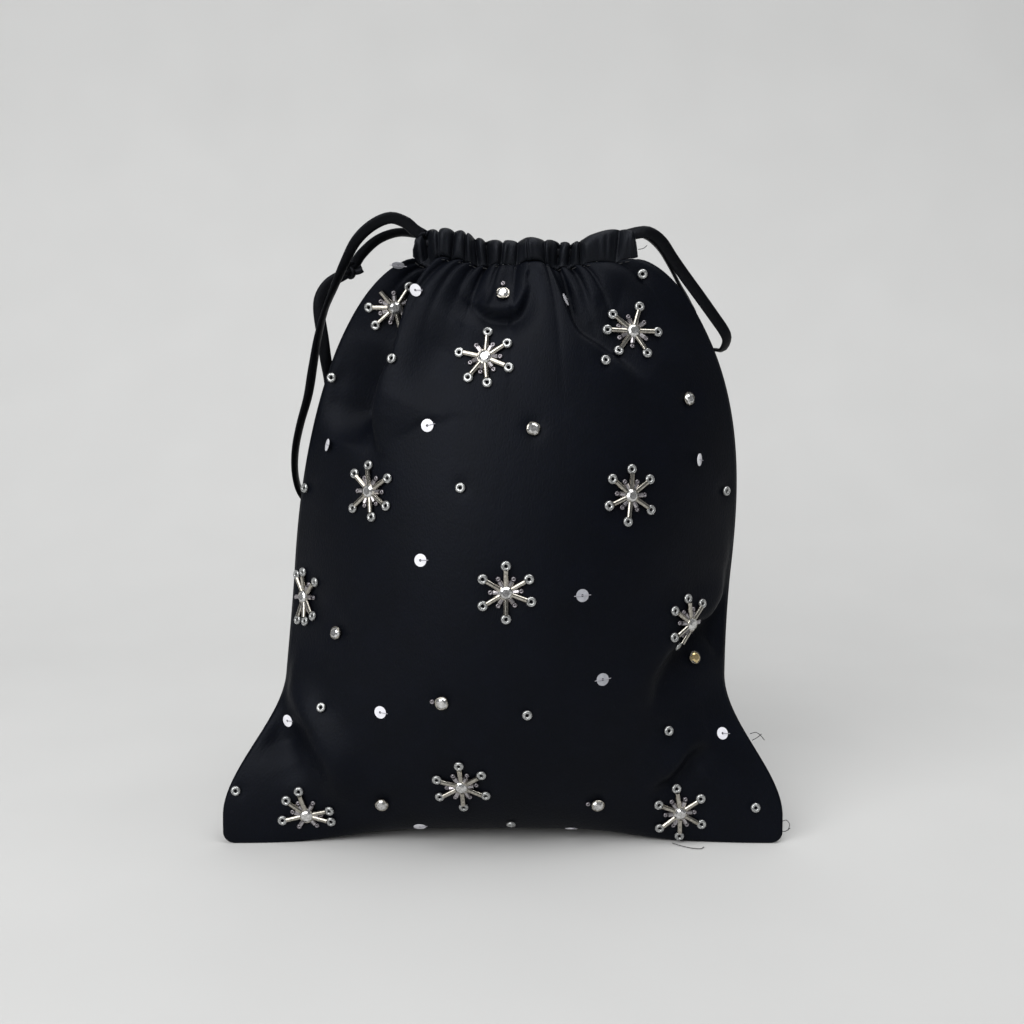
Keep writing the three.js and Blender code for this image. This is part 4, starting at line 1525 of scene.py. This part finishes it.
@dataclass
class ScatteredBeads:
    """Single beads sewn between the snowflakes."""

    cloth: Cloth
    kit: BeadKit
    stones: int = 8
    rings: int = 13
    sequins: int = 14
    seeds: int = 3
    golden: tuple[int, ...] = (5,)
    clear: tuple[int, ...] = (1, 8, 9)
    tilts: dict[int, tuple[float, float]] = field(
        default_factory=lambda: {1: (48.0, 0.0), 2: (38.0, 0.0), 5: (0.0, -28.0), 6: (0.0, 26.0)}
    )
    nudges: dict[str, tuple[float, float]] = field(
        default_factory=lambda: {
            "sequin_01": (-2.6, 3.0),
            "sequin_02": (0.0, -1.0),
            "rhinestone_02": (-1.2, 0.0),
        }
    )
    stone_reach: float = 2.2
    stone_scale: float = 0.86
    thread_at: tuple[float, float] = (1.45, 0.32)  # middle of a sequin's stitch: sideways and up, in mm

    def sew(self) -> None:
        """Sews every single bead where its CAD node is."""
        for i in range(1, self.stones + 1):
            turn = self.place(f"rhinestone_{i:02d}", self.stone_reach, 40.0 * i)
            turn = turn @ Matrix.Scale(self.stone_scale, 4)
            stone = Bead.GOLD_STONE if i in self.golden else Bead.STONE
            beads = [self.kit.copy(Bead.CUP, turn), self.kit.copy(stone, turn)]
            self.done(f"rhinestone_{i:02d}", beads, "crystal")
        for i in range(1, self.rings + 1):
            turn = self.place(f"ring_bead_{i:02d}", self.kit.ring_radius, 25.0 * i)
            self.done(f"ring_bead_{i:02d}", [self.kit.copy(Bead.RING, turn)], "glass")
        for i in range(1, self.sequins + 1):
            turn = self.place(f"sequin_{i:02d}", self.kit.sequin_radius, 6.0 * (i % 5) - 12.0)
            about_x, about_y = (math.radians(angle) for angle in self.tilts.get(i, (0.0, 0.0)))
            lift = math.sin(max(abs(about_x), abs(about_y))) * self.kit.sequin_radius * MM
            turn = turn @ Matrix.Translation((0.0, 0.0, lift))
            turn = turn @ Matrix.Rotation(about_x, 4, "X") @ Matrix.Rotation(about_y, 4, "Y")
            aside, up = self.thread_at
            threads = [turn @ Matrix.Translation(Vector((aside, 0.0, up)) * MM)]
            if i in self.clear:
                threads.append(turn @ Matrix.Translation(Vector((-aside, 0.0, up)) * MM))
            sequin = Bead.CLEAR_SEQUIN if i in self.clear else Bead.SEQUIN
            beads = [self.kit.copy(sequin, turn), *(self.kit.copy(Bead.STITCH, thread) for thread in threads)]
            self.done(f"sequin_{i:02d}", beads, "sequin")
        for i in range(1, self.seeds + 1):
            turn = self.place(f"seed_bead_{i:02d}", self.kit.seed_radius, 0.0)
            self.done(f"seed_bead_{i:02d}", [self.kit.copy(Bead.SEED, turn)], "glass")

    def place(self, node: str, reach: float, angle: float) -> Matrix:
        """Works out a bead's place on the cloth.

        Args:
            node: its CAD node.
            reach: its radius, in mm.
            angle: direction of its X as seen, in degrees.

        Returns:
            Its matrix, in metres.
        """
        point = self.cloth.under(node, self.nudges.get(node, (0.0, 0.0)))
        seat, out = self.cloth.seat(point, reach)
        return frame_at(seat, out, self.cloth.heading(point, angle, out))

    def done(self, node: str, beads: list[bpy.types.Object], slot: str) -> None:
        """Joins one bead's pieces and lets them stand for its CAD node."""
        finish_piece(self.kit.strung(f"{node}_sewn", beads), slot, node)


@dataclass
class Needlework:
    """The stitches along the casing seam and the thread ends left at the seams."""

    kit: BeadKit
    pitch: float = 2.4
    stitch_out: float = 0.12
    stitch_below: float = 0.9
    end_radius: float = 0.13
    ends: tuple[Points, ...] = (
        ((89.5, -14.0, 36.5), (91.5, -14.5, 37.2), (93.2, -15.0, 36.2), (94.6, -15.0, 34.4)),
        ((90.2, -14.0, 34.0), (92.0, -14.0, 35.0), (93.6, -14.4, 36.6)),
        ((99.6, -25.5, 7.5), (101.2, -26.0, 8.4), (102.4, -26.4, 7.0), (102.0, -26.2, 4.6)),
        ((99.4, -25.5, 4.0), (101.0, -26.5, 4.4), (102.6, -27.0, 5.8)),
        ((47.0, -6.5, 209.0), (48.8, -7.2, 209.4), (50.0, -7.4, 210.4)),
        ((60.5, -27.5, 0.4), (63.5, -29.5, 0.2), (67.0, -31.5, 0.2), (70.0, -32.0, 0.2), (71.5, -30.5, 0.2)),
    )

    def sew(self, panel: SatinPanel) -> None:
        """Sews the casing down along its seam.

        Args:
            panel: the panel whose casing seam is stitched.
        """
        edge = smooth_path(panel.top_edge, self.pitch / 2)
        stitches = []
        out = Vector((0.0, panel.face.value, 0.0))
        for near, far in zip(edge[1:-2:2], edge[2:-1:2]):
            place = Vector((near + far) / 2) + Vector((0.0, out.y * self.stitch_out, -self.stitch_below))
            along = Vector(far - near).normalized()
            stitches.append(self.kit.copy(Bead.THREAD, frame_at(place, out, along)))
        name = panel.face.name.lower()
        finish_piece(self.kit.strung(f"{name}_casing_stitches", stitches), "satin")

    def leave_ends(self) -> None:
        """Lets thread ends stand out at the right seam, the casing and the floor."""
        half = (self.end_radius, self.end_radius)
        facing = (0.0, 0.2, 1.0)
        strands = [tube_object("thread_end", smooth_path(path, 0.5), *half, facing, 5) for path in self.ends]
        obj = self.kit.strung("thread_ends", strands)
        obj.data.materials.append(self.kit.stock[Bead.THREAD].data.materials[0])
        finish_piece(obj, "satin")


# Studio


@dataclass
class Studio:
    """Plain pale sweep, soft light and the camera."""

    eye: tuple[float, float, float] = (3.3, -507.2, 205.0)
    pitch: float = 10.0
    lens: float = 50.0
    sensor: float = 36.0
    # Sweep, in metres
    floor_size: float = 4.0
    floor_drop: float = 0.0002
    wall_height: float = 3.0
    wall_at: float = 0.62
    bend: float = 0.4
    # Light: name, place in metres, size in metres and power in watts of each lamp
    lamps: tuple[tuple[str, Sequence[float], float, float], ...] = (
        ("window", (-0.7, -1.05, 0.95), 1.3, 23.0),
        ("ceiling", (0.35, -0.2, 1.6), 1.2, 17.0),
    )
    aim: tuple[float, float, float] = (0.0, 0.0, 0.1)
    surround: str = "eef1f5"
    surround_strength: float = 0.2

    def build_camera(self) -> None:
        """Sets the camera at the photograph's viewing angle."""
        data = bpy.data.cameras.new("camera")
        data.lens = self.lens
        data.sensor_width = self.sensor
        camera = bpy.data.objects.new("camera", data)
        bpy.context.scene.collection.objects.link(camera)
        camera.location = Vector(self.eye) * MM
        camera.rotation_euler = (math.radians(90.0 - self.pitch), 0.0, 0.0)
        bpy.context.scene.camera = camera

    def build_sweep(self) -> None:
        """Makes the floor and backdrop as one curved sheet."""
        deselect()
        bpy.ops.mesh.primitive_plane_add(size=self.floor_size, location=(0.0, 0.0, -self.floor_drop))
        sweep = bpy.context.object
        sweep.name = "pale_sweep"
        bpy.ops.object.mode_set(mode="EDIT")
        bpy.ops.mesh.select_all(action="DESELECT")
        bpy.ops.object.mode_set(mode="OBJECT")
        for edge in sweep.data.edges:
            edge.select = all(sweep.data.vertices[v].co.y > 0 for v in edge.vertices)
        bpy.ops.object.mode_set(mode="EDIT")
        bpy.ops.mesh.select_mode(type="EDGE")
        bpy.ops.mesh.extrude_region_move(TRANSFORM_OT_translate={"value": (0.0, 0.0, self.wall_height)})
        bpy.ops.object.mode_set(mode="OBJECT")
        for vertex in sweep.data.vertices:
            if vertex.co.y > 0:
                vertex.co.y = self.wall_at
        round_off = sweep.modifiers.new("curve", "BEVEL")
        round_off.width = self.bend
        round_off.segments = 16
        round_off.limit_method = "ANGLE"
        apply_modifiers(sweep)
        bpy.ops.object.transform_apply(location=True, rotation=True, scale=True)
        sweep.data.shade_smooth()
        sweep.data.materials.append(PAPER.material())

    def light(self) -> None:
        """Hangs a large soft lamp at the front left, another overhead and an even surround."""
        scene = bpy.context.scene
        scene.view_settings.view_transform = "Standard"
        world = bpy.data.worlds.new("surround")
        scene.world = world
        world.use_nodes = True
        background = world.node_tree.nodes["Background"]
        background.inputs["Color"].default_value = linear(self.surround)
        background.inputs["Strength"].default_value = self.surround_strength
        for name, place, size, power in self.lamps:
            data = bpy.data.lights.new(name, "AREA")
            data.size = size
            data.energy = power
            lamp = bpy.data.objects.new(name, data)
            scene.collection.objects.link(lamp)
            lamp.location = place
            aim = Vector(self.aim) - Vector(place)
            lamp.rotation_euler = aim.to_track_quat("-Z", "Y").to_euler()


def main() -> None:
    """Builds every piece of the pouch in order, then its studio."""
    logging.basicConfig(level=logging.INFO, format="%(name)s %(message)s")
    studio = Studio()
    studio.build_camera()
    form = PouchForm()
    for cord in (LEFT_CORD, RIGHT_CORD):
        cord.build()
        cord.dress(CORD_SATIN, form)
    front = SatinPanel(Face.FRONT, form, FRONT_GATHERS, (*FRONT_FOLDS, *BEAD_DIMPLES))
    back = SatinPanel(Face.BACK, form, BACK_GATHERS, columns=130, rows=150)
    kit = BeadKit()
    kit.build()
    needlework = Needlework(kit)
    for panel, top in ((front, FRONT_TOP), (back, BACK_TOP)):
        panel.build()
        panel.dress(SATIN)
        casing = Casing(panel, top)
        casing.build()
        casing.dress(CASING_SATIN_PAINTED_LIT)
        panel.declare(casing.obj)
        needlework.sew(panel)
    needlework.leave_ends()
    cloth = Cloth(front, Vector(studio.eye))
    for snowflake in SNOWFLAKES:
        snowflake.sew(cloth, kit)
    ScatteredBeads(cloth, kit).sew()
    kit.clear()
    studio.build_sweep()
    studio.light()


if __name__ == "__main__":
    main()
